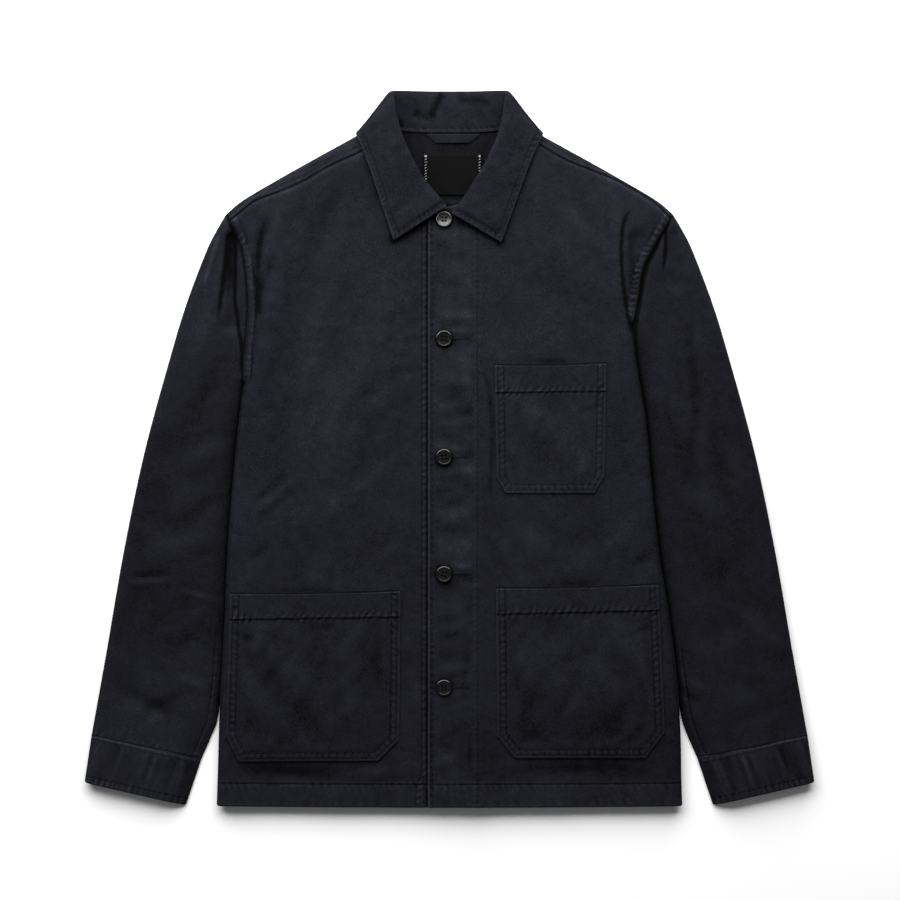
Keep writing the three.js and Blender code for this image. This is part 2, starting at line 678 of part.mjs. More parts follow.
function makeCuff(side) {
  const corner = (name) => new THREE.Vector2(CUFF[name].x, CUFF[name].y);
  const plan = [0, 0.5, 1].map((v) => {
    const inner = corner("innerTop").lerp(corner("innerEnd"), v);
    const outer = corner("outerTop").lerp(corner("outerEnd"), v);
    return ARM_STATIONS.map((t) => inner.clone().lerp(outer, t));
  });
  plan[0] = plan[0].map((point, i) => shifted(point, plan[1][i], SEAM_GAP / 2));
  const top = (x, y) => {
    const { outer, toInner } = sleeveSection(x, y);
    return sleeveTop(x, y) + CUFF_STEP * outer * quarterArc(toInner / TUCK_ROUND);
  };
  const points = plan.flatMap((row) => ringPoints(side, row, top, sleeveBottom, FOLDED));
  const cells = gridCells(2 * TIP, plan.length, { turned: side.sign > 0, closed: true });
  return addPiece("cuff_" + side.name, wallGeometry(points, cells), navyTwill);
}

// A patch pocket with cut corners, made from the front's own points moved out, with a folded band at its mouth.
function makePocket(pocket) {
  const corner = (name) => new THREE.Vector2(pocket[name].x, pocket[name].y);
  const steps = (from, to, shares) => shares.map((t) => corner(from).lerp(corner(to), t));
  const bottom = [
    ...steps("sideIn", "bottomIn", [0, 0.5]),
    ...steps("bottomIn", "bottomOut", [0, 0.2, 0.4, 0.6, 0.8, 1]),
    ...steps("bottomOut", "sideOut", [0.5, 1]),
  ];
  const topLine = [0, 0.04, 0.1, 0.26, 0.42, 0.58, 0.74, 0.9, 0.96, 1];
  const top = steps("topIn", "topOut", topLine);
  const height = corner("topIn").distanceTo(corner("sideIn"));
  const band = 1 - pocket.band / height;
  const rows = [0, 0.16, 0.32, 0.48, 0.64, band - 0.008, band + 0.008, (1 + band) / 2, 1];
  const start = rows.map((t) => corner("sideIn").lerp(corner("topIn"), t));
  const end = rows.map((t) => corner("sideOut").lerp(corner("topOut"), t));
  const plan = fillPatch(bottom, top, start, end);
  const points = plan.flatMap((row, j) =>
    row.map((point, i) => {
      const u = i / (row.length - 1);
      const gape = POCKET_GAPE * Math.sin(Math.PI * u) * smooth((rows[j] - 0.6) / 0.4);
      const step = rows[j] > band ? POCKET_BAND_STEP : 0;
      return clothPoint(frontTop, point.x, point.y, 1, CLOTH + step, SEAM_GAP + CLOTH + step + gape);
    }),
  );
  const turned = pocket.topIn.x < 0;
  return addPiece(pocket.name, wallGeometry(points, gridCells(bottom.length, rows.length, { turned })), navyTwill);
}

// The collar: a stand that rises from the neck seam, a roll line, and a leaf that falls outside it.
function makeCollar() {
  const smoothRows = (rows, sign) => {
    const names = ["seam", "roll", "edge"];
    return names.map((name) => {
      const line = rows.map((row) => new THREE.Vector3(sign * row[name][0], row[name][1], row[name + "Z"]));
      return new THREE.CatmullRomCurve3(line, false, "catmullrom", 0.5);
    });
  };
  const steps = (COLLAR_BACK.length + COLLAR_FRONT.left.length - 1) * 2;
  const turnStart = 2 / 10;
  const turnEnd = 5 / 10;
  const halfStations = (sign, front) => {
    const lines = smoothRows([...COLLAR_BACK, ...front], sign);
    return Array.from({ length: steps + 1 }, (_, k) => {
      const t = k / steps;
      const [seam, roll, edge] = lines.map((line) => line.getPoint(t));
      const turn = Math.PI * smooth((t - turnStart) / (turnEnd - turnStart));
      const away = roll.clone().sub(seam.clone().add(edge).multiplyScalar(0.5)).setZ(0).normalize();
      const outward = new THREE.Vector3(sign * 0.77, 0.64, 0);
      const fold = new THREE.Vector3(0, 0, -Math.cos(turn)).addScaledVector(outward, Math.sin(turn));
      return { seam, roll, edge, away, fold };
    });
  };
  const leftHalf = halfStations(1, COLLAR_FRONT.left);
  const rightHalf = halfStations(-1, COLLAR_FRONT.right);
  const stations = [...rightHalf.slice(1).reverse(), ...leftHalf];
  const across = [
    { part: "stand", share: 0 },
    { part: "stand", share: 0.5 },
    { part: "stand", share: 0.93 },
    { part: "roll", share: 1 },
    { part: "leaf", share: 0.06 },
    { part: "leaf", share: 0.35 },
    { part: "leaf", share: 0.7 },
    { part: "leaf", share: 1 },
  ];
  const middle = stations.flatMap(({ seam, roll, edge, away, fold }) =>
    across.map(({ part, share }) => {
      if (part === "roll") return roll.clone();
      const open = ROLL_OPEN * (part === "stand" ? -smooth(share) : smooth(1 - share));
      const from = part === "stand" ? seam : roll;
      const to = part === "stand" ? roll : edge;
      const point = from.clone().lerp(to, share).addScaledVector(fold, open);
      const nearRoll = part === "stand" ? smooth(share) : smooth(1 - share);
      return point.addScaledVector(away, -ROLL_OPEN * 0.6 * nearRoll);
    }),
  );
  const columns = across.length;
  const rows = stations.length;
  const at = (i, j) => middle[Math.min(rows - 1, Math.max(0, j)) * columns + Math.min(columns - 1, Math.max(0, i))];
  const half = COLLAR_CLOTH / 2;
  const points = middle.map((point, n) => {
    const i = n % columns;
    const j = Math.floor(n / columns);
    const alongRow = at(i + 1, j).clone().sub(at(i - 1, j));
    const alongCollar = at(i, j + 1).clone().sub(at(i, j - 1));
    const normal = alongCollar.cross(alongRow).normalize();
    const clear = frontTop(point.x, point.y) + LEAF_CLEAR + half;
    const onFront = point.z > EDGE_Z + 5 && Math.abs(stations[j].fold.z) > 0.5;
    const raised = point.clone();
    if (onFront) raised.z = Math.max(raised.z, clear);
    return { outer: raised.addScaledVector(normal, half), normal, thickness: COLLAR_CLOTH };
  });
  return addPiece("collar", wallGeometry(points, gridCells(columns, rows, { turned: true })), navyTwill);
}

// A flat strip on the inside of the back, above its inner face.
function makeOnBack(name, corners, thickness, bulge, material) {
  const columns = 7;
  const rows = 4;
  const insideBack = (x, y) => bodyBottom(x, y) + CLOTH;
  const points = [];
  for (let j = 0; j < rows; j++) {
    for (let i = 0; i < columns; i++) {
      const u = i / (columns - 1);
      const v = j / (rows - 1);
      const x = mix(mix(corners.bottom[0], corners.bottom[1], u), mix(corners.top[0], corners.top[1], u), v);
      const y = mix(corners.bottomY, corners.topY, v);
      const lift = bulge * Math.sin(Math.PI * u) * (1 - 0.5 * v);
      points.push(clothPoint(insideBack, x, y, 1, thickness, SEAM_GAP + thickness + lift));
    }
  }
  return addPiece(name, wallGeometry(points, gridCells(columns, rows)), material);
}

// A sewn button: a dished disc with a raised rim and four holes.
async function makeButtons() {
  const wasm = await Module();
  wasm.setup();
  const solidFrom = (geometry) => {
    geometry.deleteAttribute("normal");
    geometry.deleteAttribute("uv");
    const merged = mergeVertices(geometry, 1e-4);
    const mesh = { numProp: 3, vertProperties: merged.attributes.position.array, triVerts: new Uint32Array(merged.index.array) };
    return new wasm.Manifold(new wasm.Mesh(mesh));
  };
  const { radius, height, rim, well, hole, holeSpacing, segments } = BUTTON;
  const profile = [
    [0, 0],
    [radius * 0.72, 0],
    [radius * 0.94, height * 0.3],
    [radius, height * 0.62],
    [radius - rim * 0.45, height],
    [radius - rim, height * 0.93],
    [radius - rim * 1.7, well],
    [0, well - 0.2],
  ].map(([r, z]) => new THREE.Vector2(r, z));
  let disc = solidFrom(new THREE.LatheGeometry(profile, segments).rotateX(Math.PI / 2));
  for (const [sx, sy] of [[1, 1], [1, -1], [-1, 1], [-1, -1]]) {
    const drill = new THREE.CylinderGeometry(hole, hole, 4 * height, 8).rotateX(Math.PI / 2);
    disc = disc.subtract(solidFrom(drill.translate(sx * holeSpacing, sy * holeSpacing, 0)));
  }
  const made = disc.getMesh();
  const geometry = new THREE.BufferGeometry();
  geometry.setAttribute("position", new THREE.Float32BufferAttribute(made.vertProperties, 3));
  geometry.setIndex([...made.triVerts]);
  BUTTON_YS.forEach((y, k) => {
    const button = addPiece("button_" + (k + 1), geometry.clone(), darkHorn);
    button.position.set(BUTTON_X, y, frontTop(BUTTON_X, y) + SEAM_GAP);
  });
}

makeBack();
makeFront(right, bodyTop);
makeFront(left, leftFrontTop);
makeSleeve(left);
makeSleeve(right);
makeCuff(left);
makeCuff(right);
POCKETS.forEach(makePocket);
makeCollar();
makeOnBack("hanger_loop", LOOP, CLOTH, LOOP.bulge, navyInside);
const labelCorners = { top: [LABEL.x0, LABEL.x1], bottom: [LABEL.x0, LABEL.x1], topY: LABEL.y1, bottomY: LABEL.y0 };
makeOnBack("neck_label", labelCorners, LABEL_CLOTH, 0, labelBlack);
await makeButtons();

export default jacket;
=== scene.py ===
import math

import bpy
import numpy as np
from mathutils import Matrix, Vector


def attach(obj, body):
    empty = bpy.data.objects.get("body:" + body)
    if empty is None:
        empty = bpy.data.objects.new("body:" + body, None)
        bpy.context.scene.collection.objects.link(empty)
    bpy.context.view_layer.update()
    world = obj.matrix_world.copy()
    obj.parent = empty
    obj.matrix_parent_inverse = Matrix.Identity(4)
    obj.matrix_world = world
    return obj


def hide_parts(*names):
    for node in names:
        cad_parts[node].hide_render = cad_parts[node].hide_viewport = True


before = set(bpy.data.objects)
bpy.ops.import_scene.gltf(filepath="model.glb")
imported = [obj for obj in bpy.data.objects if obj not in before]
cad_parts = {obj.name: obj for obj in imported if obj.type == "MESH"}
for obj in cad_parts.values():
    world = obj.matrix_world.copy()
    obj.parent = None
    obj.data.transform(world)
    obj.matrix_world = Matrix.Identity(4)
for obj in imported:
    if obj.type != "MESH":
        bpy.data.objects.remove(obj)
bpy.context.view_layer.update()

# The garment is worked out in millimetres, in the frame's axes, from the same named values as its solids.
MM = 0.001

# Cloth and rounded edges
CLOTH = 1.2
FOLDED = 2.4
COLLAR_CLOTH = 2.0
SEAM_GAP = 0.3
EDGE_Z = 8.0
EDGE_ROUND = 11.0
TUCK_Z = 2.0
TUCK_RISE = 28.0
TUCK_ROUND = 4.0
TUCK = 1.5
ARMHOLE_BLEND = 70.0

# Heights
BODY_CROWN = 16.0
HEM_DROP = 2.5
NECK_DROP = 1.5
SLEEVE_CROWN = 15.0
CUFF_DROP = 2.0
CUFF_STEP = 0.8
NECK_LIFT = 3.2

# Lengths
HEM_Y = -392.0
BACK_HEM_Y = -391.0
HEM_BOW = 1.5
HEM_DEPTH = 26.0
FRONT_EDGE = -24.0
UNDERLAP_EDGE = 12.0
FACING = 52.0
SEAM_TO_EDGE = 2.7
HALF_WIDTH = 256.0

# Plan curves of one side, (x outwards, y)
SHOULDER_EDGE = [(78, 357), (111, 339), (151, 317), (190, 295), (227, 273), (246, 257)]
SLEEVE_EDGE = [(246, 257), (256, 240), (267, 218), (288, 163), (305, 108), (335, -2), (358, -112),
    (377, -222), (394, -317)]
CUFF_OUTER_TOP, CUFF_OUTER_END = (394, -317), (401.3, -366)
CUFF_INNER_TOP, CUFF_INNER_END = (273, -341), (290, -391.7)
SLEEVE_FREE = [(255, -294), (263, -318)]
LEFT = {
    "name": "left",
    "sign": 1,
    "flank": [(256, HEM_Y), (255, -360), (254, -310), (250, -250), (241, -180), (231, -118), (223, -45),
        (216, 31), (206, 92), (201, 135)],
    "armhole": [(201, 135), (207, 165), (212, 196), (223, 219), (236, 241), (246, 257)],
    "shoulder_seam": [(228, 268), (206, 282.5), (182, 295.5), (150, 308), (124, 319), (98, 334), (75, 345)],
    "neckline": [(75, 345), (64, 318), (46, 293), (27, 274), (8, 266.5), (FRONT_EDGE, 259.5)],
    "overlap": -FRONT_EDGE,
}
RIGHT = {
    "name": "right",
    "sign": -1,
    "flank": [(256, HEM_Y), (254.5, -345), (253, -290), (250, -235), (247, -180), (245, -125), (240, -55),
        (233, 20), (227, 70)],
    "armhole": [(227, 70), (226, 100), (223, 130), (222, 160), (224, 190), (229, 220), (238, 240),
        (246, 257)],
    "shoulder_seam": [(227, 262), (212, 273), (190, 281), (160, 294), (131, 311), (100, 325), (75, 338)],
    "neckline": [(75, 338), (64, 315), (46, 293), (27, 278), (8, 275), (-UNDERLAP_EDGE, 273.5)],
    "overlap": UNDERLAP_EDGE,
}
BACK_NECK = [(-78, 357), (-50, 353), (0, 352), (50, 353), (78, 357)]

# Soft troughs and ridges of the solids: x0, y0, x1, y1, width, height
FOLDS = [
    (-237, 240, -238, 130, 8, -7), (-256, 205, -262, 110, 9, 1.5), (212, 238, 203, 150, 10, -5),
    (187, 252, 190, 150, 9, 1.8), (247, 240, 250, 175, 7, -4), (232, 190, 222, 60, 12, -3),
    (-160, 250, -120, 60, 28, -2), (120, 290, 185, 130, 26, -2), (-205, 235, -208, 120, 12, -1.5),
    (-120, -20, -50, -140, 26, 1.6), (60, -80, 200, -130, 24, -1.4), (-215, -366, -110, -360, 14, -1.6),
    (80, -366, 225, -358, 14, -1.2), (-330, 10, -262, -60, 22, -2.5), (-350, -90, -275, -150, 20, 2),
    (-300, 120, -318, -60, 20, 2), (335, 20, 262, -50, 22, -2), (345, -180, 268, -215, 18, -2),
    (300, 130, 325, -60, 20, 2), (-378, -255, -300, -300, 16, -2), (372, -265, 300, -290, 16, 1.6),
]
# Soft drape that only the cloth's surface has: x0, y0, x1, y1, width, height, and how far the line bows aside
CREASES = [
    (-159, 196, -203, -57, 24, -1.3, 8), (-70, 200, -168, -60, 30, 1.1, -10),
    (-110, 300, -170, 190, 16, -0.9, 6), (-214, -57, -176, -20, 6, -0.7, 2),
    (-212, -82, -160, -36, 7, -0.65, -3), (-220, -120, -196, -104, 6, -0.55, 1),
    (-205, -66, -168, -30, 6, 0.5, 2), (-45, 90, -130, 20, 12, -0.7, 6), (-60, -10, -190, -90, 16, 0.9, -8),
    (-75, 30, -150, -70, 18, -0.8, -6), (-50, -85, -120, -140, 12, -0.6, 4),
    (-60, 245, -95, 120, 18, 0.7, -6), (-190, 215, -214, 150, 7, -0.9, 2), (88, 218, 190, 141, 20, -1.3, 6),
    (120, 262, 193, 196, 12, 1.0, -4), (45, 235, 130, 105, 16, 0.6, 8), (70, 300, 120, 230, 14, -0.7, 3),
    (180, 60, 205, -40, 10, -0.6, 3), (55, -70, 150, -125, 16, 0.8, 6), (215, -70, 120, -140, 15, 0.9, -5),
    (230, -105, 190, -140, 8, -0.7, 2), (38, -95, 75, -145, 9, -0.6, 3), (-244, 108, -285, -2, 16, -1.5, 6),
    (-262, 190, -292, 70, 14, 0.8, -4), (-236, 8, -313, -30, 14, 1.3, 5),
    (-241, -35, -313, -90, 13, -1.4, -5), (-252, -95, -330, -120, 12, 0.9, 4),
    (-352, -146, -306, -143, 4, 0.8, 1), (-350, -140, -308, -137, 5, -0.6, 1),
    (-297, -157, -252, -170, 4, 0.7, -2), (-262, -200, -330, -235, 13, -0.9, 4),
    (-357, -266, -290, -304, 9, -1.1, -3), (-290, -268, -350, -305, 8, -0.9, 4),
    (-300, -250, -262, -262, 6, 0.6, 1), (287, 31, 312, -90, 14, -1.3, 3), (262, 150, 300, 60, 14, 0.8, 3),
    (236, 60, 262, -60, 12, -0.8, -4), (248, -40, 320, -70, 12, 0.8, 5),
    (330, -100, 276, -165, 14, -0.9, 4), (300, -170, 362, -215, 12, 0.8, -4),
    (253, -258, 275, -280, 5, -0.9, 2), (262, -252, 290, -268, 5, 0.6, 2),
    (285, -240, 360, -262, 10, -0.7, 3), (372, -285, 310, -312, 8, 0.6, -2),
    (-235, -352, -120, -362, 9, -1.2, -3), (-110, -356, -40, -350, 7, 0.5, 1),
    (70, -354, 215, -352, 8, -0.8, -2),
]


def lerp(a, b, k):
    return a + (b - a) * k


def clamp01(q):
    return np.clip(q, 0.0, 1.0)


def smooth(q):
    q = clamp01(q)
    return q * q * (3 - 2 * q)


def quarter_arc(q):
    return np.sqrt(np.maximum(0.0, 1 - (1 - clamp01(q)) ** 2))


def unit(v):
    return v / np.maximum(np.linalg.norm(v, axis=-1, keepdims=True), 1e-12)


def hump(d, width):
    return np.exp(-((d / width) ** 2))


# Uneven detail, seeded
NOISE_SIZE = 256
LATTICE = np.random.default_rng(11).uniform(-1, 1, (8, NOISE_SIZE, NOISE_SIZE))


def noise2(x, y, seed=0):
    """Smooth noise from -1 to 1 over the plan, one lump per unit."""
    table = LATTICE[seed % 8]
    x, y = x + 37.7 * seed, y - 21.3 * seed
    i, j = np.floor(x).astype(int), np.floor(y).astype(int)
    u, v = smooth(x - i), smooth(y - j)

    def at(a, b):
        return table[(i + a) % NOISE_SIZE, (j + b) % NOISE_SIZE]

    return lerp(lerp(at(0, 0), at(1, 0), u), lerp(at(0, 1), at(1, 1), u), v)


def puckers(s, d, low, high, pitch, height, seed, lean=0.3, fade=3.0):
    """Short uneven ridges across a stitched band, low to high mm off its line, that die away past it."""
    wander = 0.45 * pitch * noise2(s / (2.3 * pitch), d / 14.0, seed)
    wave = np.cos(2 * np.pi * (s + lean * d + wander) / pitch)
    wave = np.sign(wave) * np.abs(wave) ** 0.8
    strength = 0.62 + 0.5 * noise2(s / (1.7 * pitch), d / 9.0, seed + 3)
    past = np.maximum(np.maximum(low - d, d - high), 0.0)
    return height * strength * wave * hump(past, fade)


def seam(d, at, depth=0.4, width=0.8, dark=0.9):
    """A line of stitches d past it: how deep it draws the cloth in, and how much it darkens it; with no depth
    it is a line of painted shade.
    """
    share = hump(d - at, width)
    return np.stack([-depth * share, -dark * share])


def ridge(d, at, height, width, pale=0.0):
    share = hump(d - at, width)
    return np.stack([height * share, pale * share])


def bare(relief):
    """Relief alone, with no change of tone."""
    return np.stack([relief, np.zeros_like(relief)])


def beads(relief, tone=1.2):
    """Relief whose crests are paler than its hollows."""
    return np.stack([relief, tone * relief])


def ridges(rows, x, y):
    """Height of soft folds at plan points."""
    total = np.zeros_like(x)
    for x0, y0, x1, y1, width, height in rows:
        dx, dy = x1 - x0, y1 - y0
        length = math.hypot(dx, dy)
        along = ((x - x0) * dx + (y - y0) * dy) / length
        across = ((x - x0) * dy - (y - y0) * dx) / length
        ends = smooth((along + width) / (2 * width)) * smooth((length + width - along) / (2 * width))
        total += height * hump(across, width) * ends
    return total


def draped(rows, x, y):
    """Height of long, bowed folds that die away at both ends."""
    total = np.zeros_like(x)
    for x0, y0, x1, y1, width, height, bow in rows:
        dx, dy = x1 - x0, y1 - y0
        length = math.hypot(dx, dy)
        run = ((x - x0) * dx + (y - y0) * dy) / length**2
        across = ((x - x0) * dy - (y - y0) * dx) / length - bow * (1 - (2 * run - 1) ** 2)
        taper = np.sin(np.pi * clamp01((run + 0.12) / 1.24)) ** 1.3
        total += height * taper * hump(across, width * (0.75 + 0.5 * clamp01(run)))
    return total


def spline_points(rows, t, linear_ends):
    """Uniform Catmull-Rom through rows of any dimension, at t from 0 to 1."""
    p = np.asarray(rows, float)
    n = len(p)
    ends = [2 * p[0] - p[1], 2 * p[-1] - p[-2]] if linear_ends else [p[0], p[-1]]
    q = np.concatenate([[ends[0]], p, [ends[1]]])
    place = np.asarray(t) * (n - 1)
    i = np.clip(place.astype(int), 0, n - 2)
    w = (place - i)[:, None]
    p0, p1, p2, p3 = q[i], q[i + 1], q[i + 2], q[i + 3]
    v0, v1 = (p2 - p0) / 2, (p3 - p1) / 2
    return (2 * p1 - 2 * p2 + v0 + v1) * w**3 + (-3 * p1 + 3 * p2 - 2 * v0 - v1) * w**2 + v0 * w + p1


class Curve:
    """A smooth plan curve through a table's rows, read by arc length."""

    def __init__(self, rows, samples=91):
        self.fine = spline_points(rows, np.linspace(0, 1, 60 * (len(rows) - 1) + 1), False)
        steps = np.linalg.norm(np.diff(self.fine, axis=0), axis=1)
        self.run = np.concatenate([[0], np.cumsum(steps)])
        self.length = self.run[-1]
        self.samples = self.at(np.linspace(0, 1, samples))

    def at(self, t):
        s = clamp01(np.asarray(t, float)) * self.length
        return np.stack([np.interp(s, self.run, self.fine[:, k]) for k in (0, 1)], axis=-1)

    def nearest(self, x, y):
        """Arc position and distance of the nearest point, for every plan point."""
        shape = np.shape(x)
        x, y = np.ravel(x), np.ravel(y)
        best, where = np.full(x.size, 1e9), np.zeros(x.size)
        step = self.length / (len(self.samples) - 1)
        for k in range(len(self.samples) - 1):
            a, d = self.samples[k], self.samples[k + 1] - self.samples[k]
            along = clamp01(((x - a[0]) * d[0] + (y - a[1]) * d[1]) / (d @ d))
            far = np.hypot(x - a[0] - along * d[0], y - a[1] - along * d[1])
            nearer = far < best
            best[nearer], where[nearer] = far[nearer], (k + along[nearer]) * step
        return where.reshape(shape), best.reshape(shape)

    def distance(self, x, y):
        return self.nearest(x, y)[1]


class Fold:
    """A sharp fold along a plan curve that dies away at both ends, with a softer hollow beside it; its dark
    and the hollow's dark are painted shade in the crease.
    """

    def __init__(self, rows, width, depth, dark, hollow=0.0, hollow_dark=0.0, ends=(0.15, 0.15)):
        self.curve = Curve(rows, 31)
        self.width, self.depth, self.dark = width, depth, dark
        self.hollow, self.hollow_dark, self.ends = hollow, hollow_dark, ends

    def look(self, x, y):
        s, d = self.curve.nearest(x, y)
        t = s / self.curve.length
        fade = smooth((t + 0.02) / self.ends[0]) * smooth((1.02 - t) / self.ends[1])
        look = fade * np.stack([-self.depth * hump(d, self.width), -self.dark * hump(d, self.width)])
        if self.hollow:
            share = fade * hump(d, self.hollow)
            look = look + np.stack([-0.5 * self.depth * share, -self.hollow_dark * share])
        return look


def folded(folds, x, y):
    return sum((fold.look(x, y) for fold in folds), np.zeros((2, *np.shape(x))))


class Side:
    def __init__(self, table):
        self.name, self.sign, self.overlap = table["name"], table["sign"], table["overlap"]
        armpit = table["armhole"][0]
        tucked = [
            (x + lerp(0.0, -TUCK, smooth((armpit[1] - y - 12) / 50)), y)
            for x, y in reversed(table["flank"])
            if SLEEVE_FREE[0][1] + 15 < y < armpit[1]
        ]
        underarm = [(armpit[0] + 0.1, armpit[1] - 1), *tucked, *SLEEVE_FREE, CUFF_INNER_TOP]
        self.upper = Curve([*SHOULDER_EDGE, *SLEEVE_EDGE[1:], CUFF_OUTER_END], 181)
        self.flank = Curve(table["flank"])
        self.armhole = Curve(table["armhole"])
        self.underarm = Curve(underarm, 121)
        self.inner = Curve([*underarm, CUFF_INNER_END], 121)
        self.sleeve_edge = Curve(SLEEVE_EDGE)
        self.shoulder = Curve(SHOULDER_EDGE)
        self.seam = Curve([tuple(self.armhole.at(ARM_STATIONS[SHOULDER_END])), *table["shoulder_seam"]])
        self.neckline = Curve(table["neckline"])


# Stations that the pieces share, as fractions of their boundaries
ARM_STATIONS = [0, 0.012, 0.04, 0.1, 0.22, 0.36, 0.5, 0.64, 0.78, 0.9, 0.955, 0.988, 1]
SHOULDER_END = 10
SHOULDER_STATIONS = [0, 0.04, 0.1, 0.2, 0.32, 0.45, 0.58, 0.72, 0.86, 1]
NECK_STATIONS = [0, 0.14, 0.28, 0.4, 0.5, 0.57, 0.6, 0.73, 0.86, 1]
HEM_STATIONS = [0, 0.006, 0.018, 0.036, 0.075, 0.13, 0.2, 0.28, 0.36, 0.44, 0.52, 0.6, 0.68, 0.75, 0.805,
    0.816, 0.87, 0.93, 1]
HEM_STEPS = [3, 3, 4, 8, 9, 7, 7, 7, 7, 7, 7, 7, 7, 9, 3, 11, 8, 20]
ARM_STEPS = [1, 2, 4, 9, 10, 10, 10, 10, 9, 5, 3, 2]
FLANK_ROWS = 168
HEM_ROWS = 26

left, right = Side(LEFT), Side(RIGHT)


def refined(stations, steps):
    """Stations with extra ones evenly between them."""
    out = [stations[0]]
    for a, b, n in zip(stations, stations[1:], steps):
        out += [lerp(a, b, (k + 1) / n) for k in range(n)]
    return np.array(out)


def by_side(x, y, value):
    """value(side, x outwards, y) at plan points, each taken on its own side."""
    x, y = np.broadcast_arrays(np.asarray(x, float), np.asarray(y, float))
    out = np.zeros(x.shape)
    for side, mine in ((right, x < 0), (left, x >= 0)):
        if mine.any():
            out[mine] = value(side, np.abs(x[mine]), y[mine])
    return out


def body_round(x, y):
    return by_side(
        x,
        y,
        lambda side, out, v: quarter_arc(side.upper.distance(out, v) / EDGE_ROUND)
        * quarter_arc(side.flank.distance(out, v) / EDGE_ROUND),
    )


def body_top(x, y):
    crown = BODY_CROWN - HEM_DROP * smooth((-250 - y) / 140) - NECK_DROP * smooth((y - 200) / 140)
    return EDGE_Z + (crown + ridges(FOLDS, x, y) - EDGE_Z) * body_round(x, y)


def body_bottom(x, y):
    around = body_round(x, y)
    lift = NECK_LIFT * smooth((y - 255) / 85) * smooth((140 - np.abs(x)) / 40)
    return EDGE_Z * (1 - around) + lift * around


def sleeve_section(x, y):
    own = by_side(x, y, lambda side, out, v: smooth(side.armhole.distance(out, v) / ARMHOLE_BLEND))
    to_outer = by_side(x, y, lambda side, out, v: side.upper.distance(out, v))
    to_inner = by_side(x, y, lambda side, out, v: side.inner.distance(out, v))
    edge = lerp(TUCK_Z, EDGE_Z, to_inner / (to_inner + to_outer + 1e-6))
    return own, edge, quarter_arc(to_outer / EDGE_ROUND), to_inner


def sleeve_top(x, y):
    own, edge, outer, to_inner = sleeve_section(x, y)
    crown = SLEEVE_CROWN - CUFF_DROP * smooth((-150 - y) / 180) + ridges(FOLDS, x, y)
    rise = 1 - (1 - clamp01(to_inner / TUCK_RISE)) ** 2
    return lerp(body_top(x, y), edge + (crown - edge) * rise * outer, own)


def sleeve_bottom(x, y):
    own, edge, outer, to_inner = sleeve_section(x, y)
    around = quarter_arc(to_inner / TUCK_ROUND) * outer
    return lerp(body_bottom(x, y), edge * (1 - around), own)


def overlap_rise(x):
    return SEAM_TO_EDGE * (1 - smooth((x - FRONT_EDGE - FACING) / 36))


def left_front_top(x, y):
    return body_top(x, y) + overlap_rise(x) * body_round(x, y)


def front_top(x, y):
    return np.where(x > FRONT_EDGE, left_front_top(x, y), body_top(x, y))


def hem_line(x, base):
    return base - HEM_BOW * (1 - (x / HALF_WIDTH) ** 2)


# Relief of the cloth's surface
# Sharp folds along plan points: width, depth, dark (painted shade), the hollow's width and dark (painted
# shade), and the fades at both ends
FRONT_FOLDS = {
    "left": [
        Fold([(203, 265), (195.5, 258), (191.5, 248), (189.6, 236), (188.7, 214), (189.8, 192), (192, 171),
            (196.4, 144), (200.8, 127)], 1.7, 0.9, 1.8, 6, 0.3, (0.25, 0.05)),
        Fold([(205, 245), (199, 222), (201, 190), (203, 165)], 5.0, 0.6, 0.3),
        Fold([(34, 96), (44, 60), (47, 10), (44, -60)], 3.0, 0.4, 0.4),
    ],
    "right": [
        Fold([(-193, 266), (-196, 257), (-203, 244), (-208, 226), (-210.3, 204), (-210.7, 172),
            (-209, 140)], 4.0, 0.6, 0.55, 10, 0.3, (0.35, 0.15)),
    ],
}
SLEEVE_FOLDS = {
    "left": [
        Fold([(236.5, 249), (231, 234), (227, 222), (222.8, 214), (217.5, 203), (213.4, 188), (210.2, 171),
            (207.6, 155), (204.5, 140), (201.5, 127)], 2.5, 1.6, 2.2, 6, 0.5, (0.1, 0.02)),
        Fold([(240, 250), (237.2, 240), (237.6, 224), (236, 206), (234, 190)], 1.9, 1.1, 1.7, 5, 0.3,
            (0.08, 0.4)),
        Fold([(262, 150), (268, 90), (270, 40), (262, -20)], 7.0, 0.5, 0.3),
    ],
    "right": [
        Fold([(-240.4, 239), (-244.6, 222), (-246.2, 204), (-248.1, 186), (-250.6, 168), (-253, 151),
            (-254.7, 140)], 2.0, 1.2, 1.3, 5, 0.3, (0.08, 0.3)),
        Fold([(-238.5, 240), (-235.2, 221), (-235.6, 195), (-236, 162), (-233.8, 150), (-232, 133),
            (-229, 116), (-228.3, 96), (-228.3, 78)], 2.0, 1.2, 1.3, 5, 0.3, (0.08, 0.12)),
        Fold([(-240.5, 238), (-240.5, 215), (-241.5, 190), (-242.5, 160)], 5.5, 1.6, 1.1, 0, 0,
            (0.08, 0.5)),
        Fold([(-253, 236), (-262, 205), (-270, 178)], 3.0, -0.6, -0.5),
    ],
}


def drape(x, y):
    """Broad unevenness of washed cotton that hangs from the shoulders towards the sides."""
    lean = 0.42 * np.sign(x) * smooth(np.abs(x) / 40)
    across, along = 0.91 * x + lean * y, 0.91 * y - lean * x
    broad = 0.85 * noise2(across / 40, along / 110, 1) + 0.45 * noise2(x / 62, y / 48, 2)
    broad += 0.27 * noise2(across / 17, along / 42, 5) + 0.17 * noise2(x / 24, y / 19, 6)
    return broad + 1.15 * draped(CREASES, x, y)


def crumple(x, y, seed):
    fine = 0.085 * noise2(x / 9.5, y / 8.5, seed) + 0.04 * noise2(x / 4.4, y / 4.0, seed + 1)
    return fine * (1 + 0.7 * noise2(x / 60, y / 60, seed + 2))


BUTTON_X = -6.0
BUTTON_YS = [251.2, 120.5, -9.5, -138, -262.5]
FACING_LINE = 29.5
UNDER_FACING = -30.5
